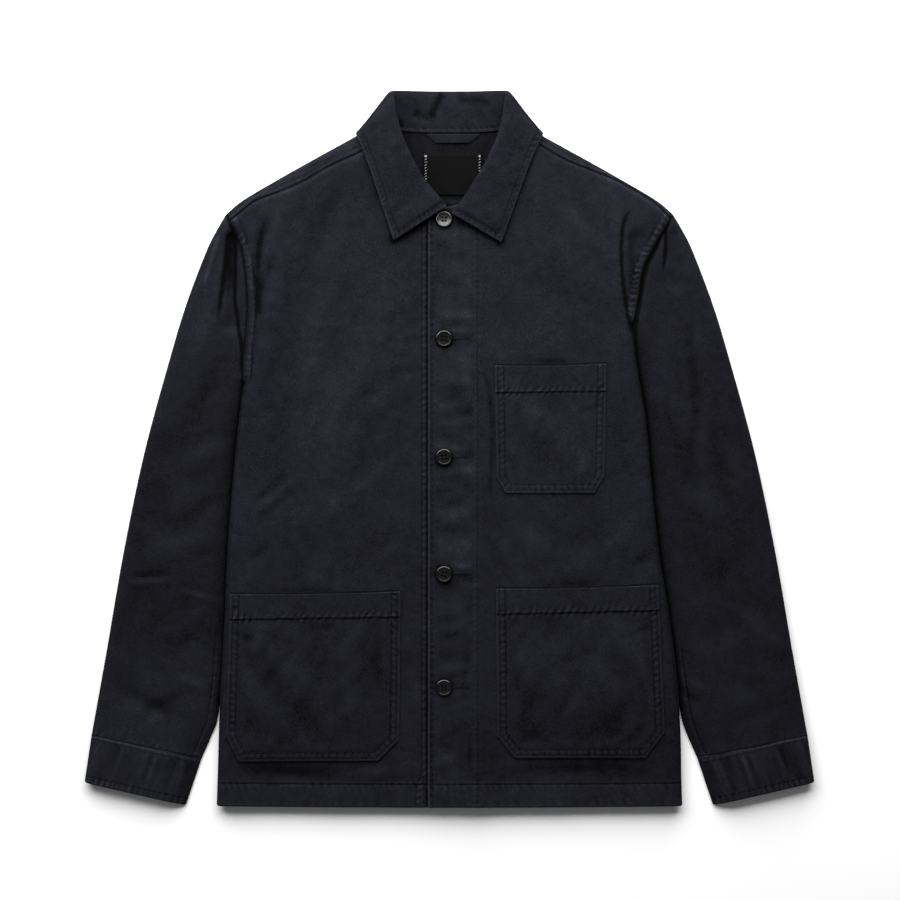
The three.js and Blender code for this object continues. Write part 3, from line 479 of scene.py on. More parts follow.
# The left front's edge is turned back by this much more than its solid's, so that its rounded rim ends level
EDGE_INSET = 1.6
# Close shade of the collar's leaf on the fronts, along its edges: plan curve, width, dark
LEAF_SHADES = [
    (Curve([(92, 323), (80, 293), (69, 262), (56.3, 227)]), 2.4, 1.1),
    (Curve([(56.3, 227), (30, 241.5), (3.4, 257.6)]), 3.6, 1.6),
    (Curve([(-93, 323), (-82, 294), (-72, 263), (-60.7, 229.4)]), 2.0, 0.9),
    (Curve([(-60.7, 229.4), (-32, 247.5), (-3.8, 265.4)]), 6.0, 1.9),
]


def under_facing_x(y):
    """The right front's facing seam, which kicks outwards near the hem."""
    return UNDER_FACING - 6.5 * smooth((-352 - y) / 26)


def armhole_look(side, x, y):
    out = np.abs(x)
    s_arm, d_arm = side.armhole.nearest(out, y)
    _, d_seam = side.seam.nearest(out, y)
    look = bare(0.45 * (1 - smooth((d_arm - 8.6) / 2.2)))
    look += beads(puckers(s_arm, d_arm, 3.2, 7.4, 6.3, 0.42, 2, lean=0.2, fade=1.3), 2.4)
    look += seam(d_arm, 1.9, 0.3, 0.8, 0.5) + seam(d_arm, 8.9, 0.45, 0.9, 0.9) + ridge(d_arm, 7.2, 0.1,
        1.0, 0.2)
    look *= smooth((s_arm - 2) / 14)
    # painted shade beside the flank edge, where the body lies over the sleeve
    beside = seam(side.flank.distance(out, y), 0, 0.0, 2.2, 1.0) * smooth((y + 330) / 40)
    return look + beside + ridge(d_seam, 3.0, 0.1, 1.6, 0.15) + seam(d_seam, 0.2, 0.7, 1.0, 2.6)


def hem_look(x, y, base, seed):
    rise = y - hem_line(x, base)
    look = bare(0.3 * (1 - smooth((rise - 23.5) / 2.5)))
    look += beads(puckers(x, rise, 19, 24, 8.2, 0.17, seed, lean=0.3, fade=3), 1.5)
    look += beads(puckers(x, rise, -1, 3, 11, 0.14, seed + 1, lean=0.1, fade=5), 1.5)
    look += np.stack([0 * rise, 0.3 * (1 - smooth((rise - 22.5) / 3))])
    return look + seam(rise, 24.4, 0.5, 0.8, 1.4) + ridge(rise, 26.2, 0.15, 0.9, 0.5) + ridge(rise, 0, 0.1,
        2.0, 0.4)


def front_look(side, x, y):
    look = armhole_look(side, x, y) + hem_look(x, y, HEM_Y,
        3) + beads(crumple(x, y, 1 if side is left else 4), 0.7)
    look += folded(FRONT_FOLDS[side.name], x, y)
    # painted shade, darker towards the hem, where the light falls off
    low = smooth((-60 - y) / 200) * (0.75 + 0.5 * smooth((x - 60) / 180))
    shade = 0.3 * low
    for curve, width, dark in LEAF_SHADES:
        shade += dark * hump(curve.distance(x, y), width)
    if side is left:
        # painted contact shadow round each button
        for button_y in BUTTON_YS:
            shade += 1.3 * (1 - smooth((np.hypot(x - BUTTON_X, y - button_y) - 8.4) / 3.6))
        shade += 0.17 * hump(y + 100, 60) - 0.15 * smooth((x + 20) / 10) * smooth((FACING_LINE - x) / 8)
        # painted shadow just above each pocket's gaping mouth
        for middle, level, wide in ((112, 93, 24), (131, -151, 26)):
            shade += 0.9 * hump(y - level - 3, 3.2) * hump(x - middle, wide)
    else:
        # painted shadow just above the right hip pocket's gaping mouth
        shade += 0.9 * hump(y + 156, 3.2) * hump(x + 160, 40)
        shade += 0.2 * hump(x + 125, 90) * hump(y - 210, 95)
        # painted shadow of the left front's neck edge on the right front
        shade += 2.0 * hump(left.neckline.distance(x, y) - 1.2, 1.5) * smooth((20 - np.abs(x)) / 4)
    look += np.stack([0 * shade, -shade])
    if side is left:
        line, edge = x - FACING_LINE, x - FRONT_EDGE - EDGE_INSET
        look += seam(line, 0.8, 0.22, 0.8, 0.25) + ridge(line, -0.9, 0.12, 1.0, 0.25)
        look += beads(puckers(y, np.abs(line), 0, 2.5, 6.9, 0.14, 5, lean=0.25, fade=2.5), 1.5)
        look += seam(edge, 3.0, 0.3, 0.7, 0.55) + ridge(edge, 0, 0.15, 1.3, 0.5)
        look += beads(puckers(y, edge, 1.2, 4.2, 7.4, 0.2, 6, lean=0.2, fade=1.6), 2.0)
        inside = smooth((x + 20) / 10) * smooth((FACING_LINE - x) / 8)
        drag = noise2(x / 46 + y / 200, (y + 0.22 * x) / 17, 6) + 0.6 * noise2(x / 30, (y - 0.15 * x) / 9,
            7)
        pulls = 0.5 * drag * inside
        for row, button_y in enumerate(BUTTON_YS):
            pulls -= 0.5 * hump(x - BUTTON_X, 17) * hump(y - button_y, 9)
            pulls += 0.35 * hump(x - BUTTON_X - 18, 12) * hump(y - button_y - 9, 4)
            pulls += 0.3 * hump(x - 20, 9) * hump(y - button_y + (12 if row % 2 else 16), 4)
        look += beads(pulls, 0.7)
    else:
        line = under_facing_x(y) - x
        look += seam(line, 0, 0.4, 0.8, 0.6) + ridge(line, -1.8, 0.12, 1.0, 0.2)
        look += beads(puckers(y, line, -5.4, -1.6, 7.6, 0.26, 7, lean=0.15, fade=1.2), 2.0)
        # painted shade in the groove beside the left front's edge
        look += ridge(x, FRONT_EDGE - 0.6, -0.2, 1.5, -1.5)
    return look


def front_surface(side, x, y):
    base = left_front_top(x, y) if side is left else body_top(x, y)
    return base + (drape(x, y) + front_look(side, x, y)[0]) * smooth(body_round(x, y) * 1.2 - 0.1)


def sleeve_look(side, x, y, above):
    out = np.abs(x)
    s_arm, d_arm = side.armhole.nearest(out, y)
    cuff = (y - CUFF_INNER_TOP[1]) - (out - CUFF_INNER_TOP[0]) * 24 / 121
    look = beads(0.9 * drape(x, y), 0.14) + beads(crumple(x, y, 2 if side is left else 5), 0.7)
    paler = 0.0 if side is left else 0.4 * smooth((-190 - y) / 60)
    look += np.stack([0 * y, paler - 0.24 * hump(y + 50, 130)])
    look += above * (seam(d_arm, 0, 0.55, 2.2, 1.2) + bare(puckers(s_arm, d_arm, 0, 2, 6.4, 0.16, 4,
        lean=0.4, fade=6)))
    look += above * folded(SLEEVE_FOLDS[side.name], x, y)
    look += bare(puckers(out, cuff, 0, 2, 8.5, 0.2, 6, lean=0.5, fade=8)) + seam(cuff, 0, 0.3, 1.1, 0.9)
    inseam = side.underarm.distance(out, y)
    lower = smooth((-190 - y) / 60) * above
    look += lower * (seam(inseam, 10.5, 0.35, 0.9, 0.7) + ridge(inseam, 8.6, 0.2, 1.2, 0.5))
    look += lower * bare(puckers(y, inseam, 2, 10, 7.0, 0.2, 3, lean=0.2, fade=1.5))
    # painted shade on the sleeve along its inner edge, where it goes under the body's flank
    tucked = above * smooth((y + 300) / 25)
    near, wide = (2.6, 3.4) if side is left else (1.5, 2.6)
    return look + tucked * (seam(inseam, 0, 0.0, wide, near + 0.3) + seam(inseam, 0, 0.0, 9.0, 0.6))


def cuff_look(side, x, y):
    out = np.abs(x)
    slope = (CUFF_OUTER_END[1] - CUFF_INNER_END[1]) / (CUFF_OUTER_END[0] - CUFF_INNER_END[0])
    rise = 0.975 * ((y - CUFF_INNER_END[1]) - (out - CUFF_INNER_END[0]) * slope)
    look = beads(0.7 * drape(x + 90, y), 0.14) + beads(crumple(x, y, 3 if side is left else 6), 0.7)
    look += np.stack([0 * y, np.full(y.shape, 0.2 if side is left else 0.45)])
    look += seam(rise, 6.4, 0.35, 0.8, 0.7) + ridge(rise, 0, 0.1, 1.6, 0.6)
    look += seam(rise, 47.4, 0.15, 0.8, 0.2) + ridge(rise, 49.9, 0.15, 1.0, 1.2)
    look += beads(puckers(out, rise, 1.0, 5.8, 6.2, 0.3, 1, lean=0.35, fade=2), 1.8)
    look += beads(puckers(out, rise, 46, 50, 7.4, 0.15, 2, lean=-0.3, fade=3), 1.6)
    strong = 0.5 if side is left else 0.3
    slant = noise2((out + 0.35 * rise) / 5.2, rise / 40, 3) + 0.9 * noise2((out + 0.25 * rise) / 12,
        rise / 50, 4)
    inside = smooth(rise / 10) * smooth((52 - rise) / 10)
    return look + np.stack([strong * slant * inside, 0.3 * slant * inside])


# Meshes
# Wear and painted shade, from -2, deep painted shade, to 2, palest: painted shade inside the cloth, and where
# it goes under its neighbour
# painted shade on the cloth's inner faces
INNER_SHADE = -1.25
SHADED = -2.0


def lengths(points):
    run = np.concatenate([[0], np.cumsum(np.linalg.norm(np.diff(points, axis=0), axis=1))])
    return run / run[-1]


def fill_patch(bottom, top, start, end):
    """Rows of plan points between four boundaries."""
    u0, u1, v0, v1 = lengths(bottom), lengths(top), lengths(start), lengths(end)
    v = lerp(v0[:, None], v1[:, None], u0[None])
    u = lerp(u0[None], u1[None], v)[..., None]
    v = v[..., None]
    grid = lerp(bottom[None], top[None], v)
    grid = grid + (start[:, None] - lerp(bottom[0], top[0], v)) * (1 - u) ** 3
    return grid + (end[:, None] - lerp(bottom[-1], top[-1], v)) * u**3


def grid_quads(rows, columns, turned=False, closed=False, keep=None):
    j, i = np.meshgrid(np.arange(rows - 1), np.arange(columns if closed else columns - 1), indexing="ij")
    if keep is not None:
        chosen = keep(i, j)
        i, j = i[chosen], j[chosen]
    i, j = i.ravel(), j.ravel()
    after = (i + 1) % columns
    quads = np.stack([j * columns + i, j * columns + after, (j + 1) * columns + after,
        (j + 1) * columns + i], 1)
    return quads[:, ::-1] if turned else quads


def point_normals(points, quads):
    a, b, c, d = (points[quads[:, k]] for k in range(4))
    flat = np.cross(c - a, d - b)
    normal = np.zeros_like(points)
    for k in range(4):
        np.add.at(normal, quads[:, k], flat)
    return unit(normal)


def blurred(field, times, closed=False):
    for _ in range(times):
        field = np.concatenate([field[:1], (field[:-2] + 2 * field[1:-1] + field[2:]) / 4, field[-1:]])
        if closed:
            field = (np.roll(field, 1, 1) + 2 * field + np.roll(field, -1, 1)) / 4
        else:
            middle = (field[:, :-2] + 2 * field[:, 1:-1] + field[:, 2:]) / 4
            field = np.concatenate([field[:, :1], middle, field[:, -1:]], 1)
    return field


def wear_and_shade_of(look, closed=False, times=10, full=0.55):
    """Raised threads lose their dye first: how far the surface stands proud, and the drawn tone, which also
    holds painted shade.
    """
    relief, tone = look
    return np.clip((relief - blurred(relief, times, closed)) / full + tone, -2, 2).ravel()


def make_mesh(name, vertices, faces, values, material, slot, smooth_shade=True):
    mesh = bpy.data.meshes.new(name)
    mesh.vertices.add(len(vertices))
    mesh.vertices.foreach_set("co", np.ascontiguousarray(vertices * MM, dtype=np.float32).ravel())
    sides = faces.shape[1]
    mesh.loops.add(faces.size)
    mesh.loops.foreach_set("vertex_index", np.ascontiguousarray(faces, dtype=np.int32).ravel())
    mesh.polygons.add(len(faces))
    mesh.polygons.foreach_set("loop_start", np.arange(0, faces.size, sides, dtype=np.int32))
    mesh.polygons.foreach_set("use_smooth", np.full(len(faces), smooth_shade))
    mesh.update(calc_edges=True)
    for key, value in values.items():
        mesh.attributes.new(key, "FLOAT", "POINT").data.foreach_set("value", np.asarray(value, np.float32))
    mesh.materials.append(material)
    piece = bpy.data.objects.new(name, mesh)
    bpy.context.collection.objects.link(piece)
    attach(piece, "root")
    return piece


def cloth_piece(
    node, points, quads, thickness, wear_and_shade, material, edge_wear_and_shade, inner_shade=INNER_SHADE, slot="navy_twill",
        name="cloth_{}"
):
    """A closed wall of cloth over outer points, with a rounded rim, that stands for a node."""
    points, thickness, edge_wear_and_shade = np.reshape(points, (-1, 3)), np.ravel(thickness), np.ravel(edge_wear_and_shade)
    used, first = np.unique(quads, return_inverse=True)
    quads = first.reshape(quads.shape)
    first_count = len(points)
    thickness = np.broadcast_to(thickness, first_count)[used]
    points, wear_and_shade = points[used], wear_and_shade[used]
    normal = point_normals(points, quads)
    n = len(points)
    inner = points - normal * thickness[:, None]
    edges = np.concatenate([quads[:, [k, (k + 1) % 4]] for k in range(4)])
    border = edges[~np.isin(edges[:, 0] * n + edges[:, 1], edges[:, 1] * n + edges[:, 0])]
    outward = np.zeros_like(points)
    run = points[border[:, 1]] - points[border[:, 0]]
    for k in (0, 1):
        np.add.at(outward, border[:, k], unit(np.cross(run, normal[border[:, k]])))
    rim = np.unique(border)
    rim_number = np.zeros(n, int)
    rim_number[rim] = 2 * n + np.arange(len(rim))
    half = thickness[rim, None] / 2
    rim_points = points[rim] - normal[rim] * half + unit(outward[rim]) * half
    p, q = border[:, 0], border[:, 1]
    faces = np.concatenate(
        [
            quads,
            quads[:, ::-1] + n,
            np.stack([q, p, rim_number[p], rim_number[q]], 1),
            np.stack([rim_number[q], rim_number[p], p + n, q + n], 1),
        ]
    )
    edge_wear_and_shade = np.broadcast_to(edge_wear_and_shade, first_count)[used][rim]
    lighter = wear_and_shade.copy()
    # a rim's negative value is painted shade, where the edge goes under its neighbour
    lighter[rim] = np.where(edge_wear_and_shade < 0, edge_wear_and_shade, np.maximum(lighter[rim], edge_wear_and_shade))
    values = {"wear_and_shade": np.concatenate([lighter, np.broadcast_to(inner_shade, first_count)[used], edge_wear_and_shade])}
    piece = make_mesh(name.format(node), np.concatenate([points, inner, rim_points]), faces, values,
        material, slot)
    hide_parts(node)
    return piece


# Materials
class Paint:
    """A procedural material being made: its nodes, and the shader that they feed."""

    def __init__(self, name, **settings):
        self.material = bpy.data.materials.new(name)
        self.material.use_nodes = True
        self.tree = self.material.node_tree
        self.tree.nodes.clear()
        out = self.tree.nodes.new("ShaderNodeOutputMaterial")
        self.shader = self.tree.nodes.new("ShaderNodeBsdfPrincipled")
        self.tree.links.new(self.shader.outputs[0], out.inputs[0])
        self.set(self.shader, settings)

    def set(self, node, inputs):
        """Sets or links a node's sockets, by name."""
        for key, value in inputs.items():
            socket = node.inputs[key if isinstance(key, int) else key.replace("_", " ")]
            if isinstance(value, bpy.types.NodeSocket):
                self.tree.links.new(value, socket)
            else:
                socket.default_value = value
        return node

    def add(self, kind, **inputs):
        return self.set(self.tree.nodes.new("ShaderNode" + kind), inputs)

    def place(self):
        return self.add("TexCoord").outputs["Object"]

    def turned(self, place, angle, scale=(1.0, 1.0, 1.0)):
        return self.add("Mapping", Vector=place, Rotation=(0, 0, angle), Scale=scale).outputs[0]

    def noise(self, place, **inputs):
        return self.add("TexNoise", Vector=place, **inputs).outputs[0]

    def stripes(self, place, **inputs):
        return self.add("TexWave", Vector=place, **inputs)

    def sum(self, a, b):
        return self.maths("ADD", a, b)

    def times(self, a, b):
        return self.maths("MULTIPLY", a, b)

    def maths(self, operation, a, b):
        node = self.tree.nodes.new("ShaderNodeMath")
        node.operation = operation
        return self.set(node, {0: a, 1: b}).outputs[0]

    def colours(self, factor, *stops):
        """The base colour, by a ramp from one colour to the next at its places."""
        ramp = self.tree.nodes.new("ShaderNodeValToRGB")
        elements = ramp.color_ramp.elements
        for number, (place, colour) in enumerate(stops):
            stop = elements[number] if number < 2 else elements.new(place)
            stop.position, stop.color = place, (*colour, 1)
        self.tree.links.new(factor, ramp.inputs[0])
        self.tree.links.new(ramp.outputs[0], self.shader.inputs["Base Color"])

    def bump(self, height, strength, distance):
        bump = self.add("Bump", Height=height, Strength=strength, Distance=distance)
        self.tree.links.new(bump.outputs[0], self.shader.inputs["Normal"])


def twill(name, dark, light, worn, turn=0.9):
    """Washed cotton twill: a fine diagonal weave, mottled dye, paler thread wherever it stands proud, and the
    painted shade that the same attribute carries.
    """
    paint = Paint(
        name,
        Specular_IOR_Level=0.04,
        Sheen_Weight=0.02,
        Sheen_Roughness=0.45,
        Sheen_Tint=(0.55, 0.62, 0.85, 1),
    )
    place = paint.place()
    slanted = paint.turned(place, 0.45, (1.0, 0.45, 1.0))
    broad = paint.noise(slanted, Scale=16.0, Detail=4.0, Roughness=0.6)
    mottle = paint.noise(place, Scale=120.0, Detail=4.0, Roughness=0.65)
    grain = paint.noise(place, Scale=700.0, Detail=2.0, Roughness=0.6)
    weave = paint.stripes(paint.turned(place, turn), Scale=290.0, Distortion=1.4, Detail=1.0,
        Detail_Scale=2.0)
    weave = weave.outputs[1]
    wear_and_shade = paint.add("Attribute")
    wear_and_shade.attribute_name = "wear_and_shade"
    tone = 0.5
    for field, share in ((broad, 0.27), (mottle, 0.35), (grain, 0.95), (weave, 0.18)):
        tone = paint.sum(tone, paint.times(paint.maths("SUBTRACT", field, 0.5), share))
    tone = paint.sum(tone, paint.times(wear_and_shade.outputs["Fac"], 0.27))
    paint.colours(tone, (0.1, dark), (0.75, light), (1.0, worn))
    height = paint.sum(paint.times(weave, 0.45), paint.times(grain, 0.5))
    paint.bump(paint.sum(height, paint.times(mottle, 0.9)), 0.5, 0.0004)
    paint.set(paint.shader, {"Roughness": paint.sum(0.82, paint.times(grain, 0.15))})
    return paint.material


def thread_material(name, colour, roughness=0.6):
    paint = Paint(name, Roughness=roughness, Specular_IOR_Level=0.08)
    twist = paint.noise(paint.place(), Scale=900.0, Detail=2.0)
    paint.colours(twist, (0.0, [0.6 * c for c in colour]), (1.0, [1.3 * c for c in colour]))
    paint.bump(twist, 0.4, 0.0002)
    return paint.material


NAVY = np.array([1.0, 1.02, 1.48])
NAVY_DARK, NAVY_LIGHT, NAVY_WORN = 0.0008 * NAVY, 0.0118 * NAVY, 0.026 * NAVY * (1, 1.06, 0.97)
cloth = twill("navy_twill", NAVY_DARK, NAVY_LIGHT, NAVY_WORN)
sleeve_cloth = twill("navy_twill_sleeves", 0.8 * NAVY_DARK, 0.8 * NAVY_LIGHT, 0.8 * NAVY_WORN, turn=0.7)
# a darker copy of the twill, its weave turned the other way, for the hanger loop: painted shade inside the
# neck
inside_cloth = twill("navy_twill_inside", 0.8 * NAVY_DARK, 0.8 * NAVY_LIGHT, 0.8 * NAVY_WORN, turn=-0.9)
thread = thread_material("navy_thread", 0.0065 * NAVY)
dark_thread = thread_material("navy_thread_dark", 0.0007 * NAVY)
purl_thread = thread_material("navy_thread_pale", 0.017 * NAVY)
pale_thread = thread_material("pale_thread", (0.42, 0.42, 0.41), 0.5)


# Sewing
SIDES = 6


def thread_strokes(
    name, centres, along, normals, length=2.3, width=0.5, sink=0.28, squash=0.6, material=thread,
        slot="navy_twill"
):
    """One short raised stroke of thread at each centre, its ends let into the cloth."""
    along = unit(along - (along * normals).sum(1, keepdims=True) * normals)
    across = np.cross(normals, along)
    rings = [(-0.5, 0.3, -1.0), (0.0, 1.0, 0.0), (0.5, 0.3, -1.0)]
    angles = np.linspace(0, 2 * np.pi, SIDES, endpoint=False)
    vertices = []
    for at, size, drop in rings:
        for angle in angles:
            flat = across * math.cos(angle) * width / 2 * size
            up = normals * (math.sin(angle) * width / 2 * size * squash + drop * sink)
            vertices.append(centres + along * at * length + flat + up)
    vertices = np.stack(vertices, 1).reshape(-1, 3)
    last = (len(rings) - 1) * SIDES
    caps = np.array([[3, 2, 1, 0], [5, 4, 3, 0], [last, last + 1, last + 2, last + 3],
        [last, last + 3, last + 4, last + 5]])
    one = np.concatenate([grid_quads(len(rings), SIDES, closed=True), caps])
    firsts = np.arange(len(centres)) * len(rings) * SIDES
    faces = (one[None, :, ::-1] + firsts[:, None, None]).reshape(-1, 4)
    return make_mesh(name, vertices, faces, {}, material, slot)


def along_path(path, pitch, start=1.5):
    """Centres and directions every pitch along a polyline."""
    path = np.asarray(path, float)
    steps = np.linalg.norm(np.diff(path, axis=0), axis=1)
    run = np.concatenate([[0], np.cumsum(steps)])
    s = np.arange(start, run[-1] - 0.5, pitch)

    def at(q):
        return np.stack([np.interp(q, run, path[:, k]) for k in range(path.shape[1])], -1)

    return at(s), unit(at(s + 0.4) - at(s - 0.4))


def height_strokes(paths, surface, pitch=3.1, raise_by=0.1):
    """Stitch places along plan paths on a surface given as heights."""
    centres, along, normals = [], [], []
    for path in paths:
        flat, heading = along_path(path, pitch)
        x, y = flat[:, 0], flat[:, 1]
        step = 0.6
        z = surface(x, y)
        slope_x = (surface(x + step, y) - surface(x - step, y)) / (2 * step)
        slope_y = (surface(x, y + step) - surface(x, y - step)) / (2 * step)
        normal = unit(np.stack([-slope_x, -slope_y, np.ones_like(z)], 1))
        centres.append(np.column_stack([x, y, z]) + normal * raise_by)
        along.append(np.column_stack([heading, heading[:, 0] * slope_x + heading[:, 1] * slope_y]))
        normals.append(normal)
    return np.concatenate(centres), np.concatenate(along), np.concatenate(normals)


def offset_curve(curve, distance, sign, t0=0.0, t1=1.0, count=160):
    """A curve moved sideways in plan, towards the body's middle, in true x."""
    t = np.linspace(t0, t1, count)
    points = curve.at(t)
    heading = unit(np.gradient(points, axis=0))
    aside = np.column_stack([-heading[:, 1], heading[:, 0]])
    moved = points + aside * distance
    return np.column_stack([moved[:, 0] * sign, moved[:, 1]])


# Fronts
def front_plan(side):
    spread = refined(HEM_STATIONS, HEM_STEPS)
    count = len(SHOULDER_STATIONS) - 1
    top = np.concatenate(
        [
            side.seam.at(refined(SHOULDER_STATIONS, HEM_STEPS[:count])),
            side.neckline.at(refined(NECK_STATIONS, HEM_STEPS[count:]))[1:],
        ]
    )
    hem_share = HEM_DEPTH / side.flank.length
    flank = np.concatenate([np.linspace(0, hem_share, HEM_ROWS + 1),
        np.linspace(hem_share, 1, FLANK_ROWS + 1)[1:]])
    arm = refined(ARM_STATIONS[: SHOULDER_END + 1], ARM_STEPS[:SHOULDER_END])
    start = np.concatenate([side.flank.at(flank), side.armhole.at(arm)[1:]])
    x = lerp(HALF_WIDTH, -side.overlap, spread)
    bottom = np.column_stack([x, hem_line(x, HEM_Y)])
    end = lerp(bottom[-1], top[-1], lengths(start)[:, None])
    plan = fill_patch(bottom, top, start, end)
    if side is left:
        plan[..., 0] += EDGE_INSET * clamp01(-plan[..., 0] / 20)
    return plan


def make_front(side):
    plan = front_plan(side)
    x, y = plan[..., 0] * side.sign, plan[..., 1]
    z = front_surface(side, x, y)
    z[: HEM_ROWS + FLANK_ROWS + 1, 0] += SEAM_GAP / 2
    look = front_look(side, x, y) + beads(drape(x, y), 0.12)
    edge_wear_and_shade = np.full(x.shape, 0.3)
    edge_wear_and_shade[:, -1] = 0.9
    edge_wear_and_shade[0] = 0.8
    edge_wear_and_shade[HEM_ROWS:, 0] = SHADED
    edge_wear_and_shade[-1] = SHADED
    if side is left:
        edge_wear_and_shade[-1, x[-1] < 16] = 0.5
    facing = 1 - clamp01((plan[..., 0] + side.overlap - FACING) / 2)
    near_hem = 1 - clamp01((y - HEM_Y - HEM_DEPTH) / 2)
    thickness = lerp(CLOTH, FOLDED, np.maximum(facing, near_hem))
    quads = grid_quads(*x.shape, turned=side.sign > 0)
    return cloth_piece("front_" + side.name, np.stack([x, y, z], -1), quads, thickness, wear_and_shade_of(look),
        cloth, edge_wear_and_shade)


front_right = make_front(right)
front_left = make_front(left)


# Back
def make_back():
    flip = np.array([-1.0, 1.0])
    shoulder_steps = [2, 2, 4, 6, 6, 7, 7, 7, 7]
    share = refined(SHOULDER_STATIONS, shoulder_steps)
    shoulder = left.shoulder.at(1 - share)
    neck = Curve(BACK_NECK).at(1 - np.linspace(0, 1, 49))
    top = np.concatenate([shoulder, neck[1:-1], (shoulder * flip)[::-1]])
    columns = len(top)
    half = np.array([0, 0.006, 0.02, 0.05, 0.12, 0.22, 0.32, 0.42, 0.52, 0.6])
    own = refined(list(half), shoulder_steps) / 2
    middle = np.linspace(own[-1], 1 - own[-1], columns - 2 * len(own) + 2)[1:-1]
    spread = np.concatenate([own, middle, 1 - own[::-1]])
    x = HALF_WIDTH * (1 - 2 * spread)
    bottom = np.column_stack([x, hem_line(x, BACK_HEM_Y)])

    def boundary(side):
        hem_share = HEM_DEPTH / side.flank.length
        flank = np.concatenate([np.linspace(0, hem_share, 8), np.linspace(hem_share, 1, 101)[1:]])
        arm = refined(ARM_STATIONS, [1, 2, 3, 6, 7, 7, 7, 7, 6, 4, 3, 2])
        return np.concatenate([side.flank.at(flank), side.armhole.at(arm)[1:]])

    start, end = boundary(left), boundary(right) * flip
    start[0], end[0] = bottom[0], bottom[-1]
    plan = fill_patch(bottom, top, start, end)
    rows = len(plan)
    x, y = plan[..., 0], plan[..., 1]
    flat = body_round(x, y)
    waves = 0.6 * drape(-x, y) + crumple(x, y, 7)
    z = body_bottom(x, y) + np.abs(waves) * (1 - smooth((flat - 0.2) / 0.8)) * 0.5
    z[rows - 1, : len(share)] = EDGE_Z
    z[rows - 1, columns - len(share) :] = EDGE_Z
    relief = waves
    # The strips that turn over the shoulders to the front seams
    strip_shares = [0.992, 0.97, 0.93, 0.87, 0.79, 0.7, 0.6, 0.5, 0.4, 0.3, 0.2, 0.13, 0.07, 0.0]
    extra, extra_look = [], []
    arm_end = ARM_STATIONS[SHOULDER_END]
    for amount in strip_shares:
        row = np.zeros((columns, 3))
        row_look = np.zeros((2, columns))
        for side, sign in ((left, 1), (right, -1)):
            edge = side.shoulder.at(1 - share)
            place = lerp(side.seam.at(share), edge, amount)
            place[0] = side.armhole.at(lerp(arm_end, 1, amount))
            xx, yy = place[:, 0] * sign, place[:, 1]
            _, d_seam = side.seam.nearest(place[:, 0], yy)
            _, d_arm = side.armhole.nearest(place[:, 0], yy)
            local = beads(0.22 * noise2(share * 9, d_seam / 1.5, 3) + 0.18 * noise2(share * 30, d_seam / 3,
                4), 0.8)
            local += ridge(d_seam, 3.1, 0.08, 1.4, 0.3) + seam(d_seam, 5.8, 0.12, 1.2, 0.3) + seam(d_seam,
                0, 0.5, 1.0, 1.8)
            local += seam(d_arm, 1.9, 0.3, 0.8, 0.5) + seam(d_arm, 8.6, 0.3, 0.9, 0.6)
            zz = body_top(xx, yy) + local[0] * smooth(body_round(xx, yy) * 1.2 - 0.1)
            values = np.column_stack([xx, yy, zz])
            where = slice(0, len(share)) if sign > 0 else slice(columns - len(share), columns)
            row[where] = values if sign > 0 else values[::-1]
            row_look[:, where] = local if sign > 0 else local[:, ::-1]
        extra.append(row)
        extra_look.append(row_look)
    points = np.concatenate([np.stack([x, y, z], -1).reshape(-1, 3), np.concatenate(extra)])
    all_rows = rows + len(strip_shares)
    look = np.concatenate([bare(relief), np.stack(extra_look, 1)], 1)
    thickness = np.full(all_rows * columns, CLOTH)
    thickness[: rows * columns] = lerp(CLOTH, FOLDED, 1 - clamp01((y - HEM_Y - HEM_DEPTH) / 2)).ravel()

    def keep(i, j):
        return (j < rows - 1) | (i < len(share) - 1) | (i >= columns - len(share))

    quads = grid_quads(all_rows, columns, keep=keep)
    edge_wear_and_shade = np.full((all_rows, columns), SHADED)
    edge_wear_and_shade[0] = 0.3
    # painted shade inside the back, deepest behind the left front's neck edge
    behind = Curve([(-14, 276), (4, 275.5), (18, 276)]).distance(points[:, 0], points[:, 1])
    inner_shade = -0.9 - 1.1 * hump(behind, 2.2)
    return cloth_piece("back", points, quads, thickness, wear_and_shade_of(look), cloth, edge_wear_and_shade, inner_shade)


back = make_back()


# Sleeves and cuffs
def ring_grid(side, plan, above, below):
    """Points round a flattened tube: over the top from the inner edge to the outer one, and back below."""
    over, under = plan[:, 1:-1], plan[:, -2:0:-1]
    edge_in, edge_out = plan[:, :1], plan[:, -1:]
    xy = np.concatenate([edge_in, over, edge_out, under], 1)
    x, y = xy[..., 0] * side.sign, xy[..., 1]
    inside = over.shape[1]
    z = np.zeros_like(x)
    z[:, 1 : 1 + inside] = above(x[:, 1 : 1 + inside], y[:, 1 : 1 + inside])
    z[:, 2 + inside :] = below(x[:, 2 + inside :], y[:, 2 + inside :])
    for k in (0, 1 + inside):
        z[:, k] = (sleeve_top(x[:, k], y[:, k]) + sleeve_bottom(x[:, k], y[:, k])) / 2
    return np.stack([x, y, z], -1)


def make_tube(node, side, points, look, thickness, edge_wear_and_shade):
    quads = grid_quads(*points.shape[:2], turned=side.sign > 0, closed=True)
    return cloth_piece(node, points, quads, thickness, wear_and_shade_of(look, closed=True), sleeve_cloth, edge_wear_and_shade)


RING_STEPS = [2, 3, 5, 9, 10, 9, 9, 9, 8, 5, 3, 2]
SLEEVE_ROWS = 200


def sleeve_fade(x, y):
    """Relief dies away where the tube turns under."""
    _, _, outer, to_inner = sleeve_section(x, y)
    return smooth(outer * 1.25 - 0.15) * smooth(to_inner / 9)


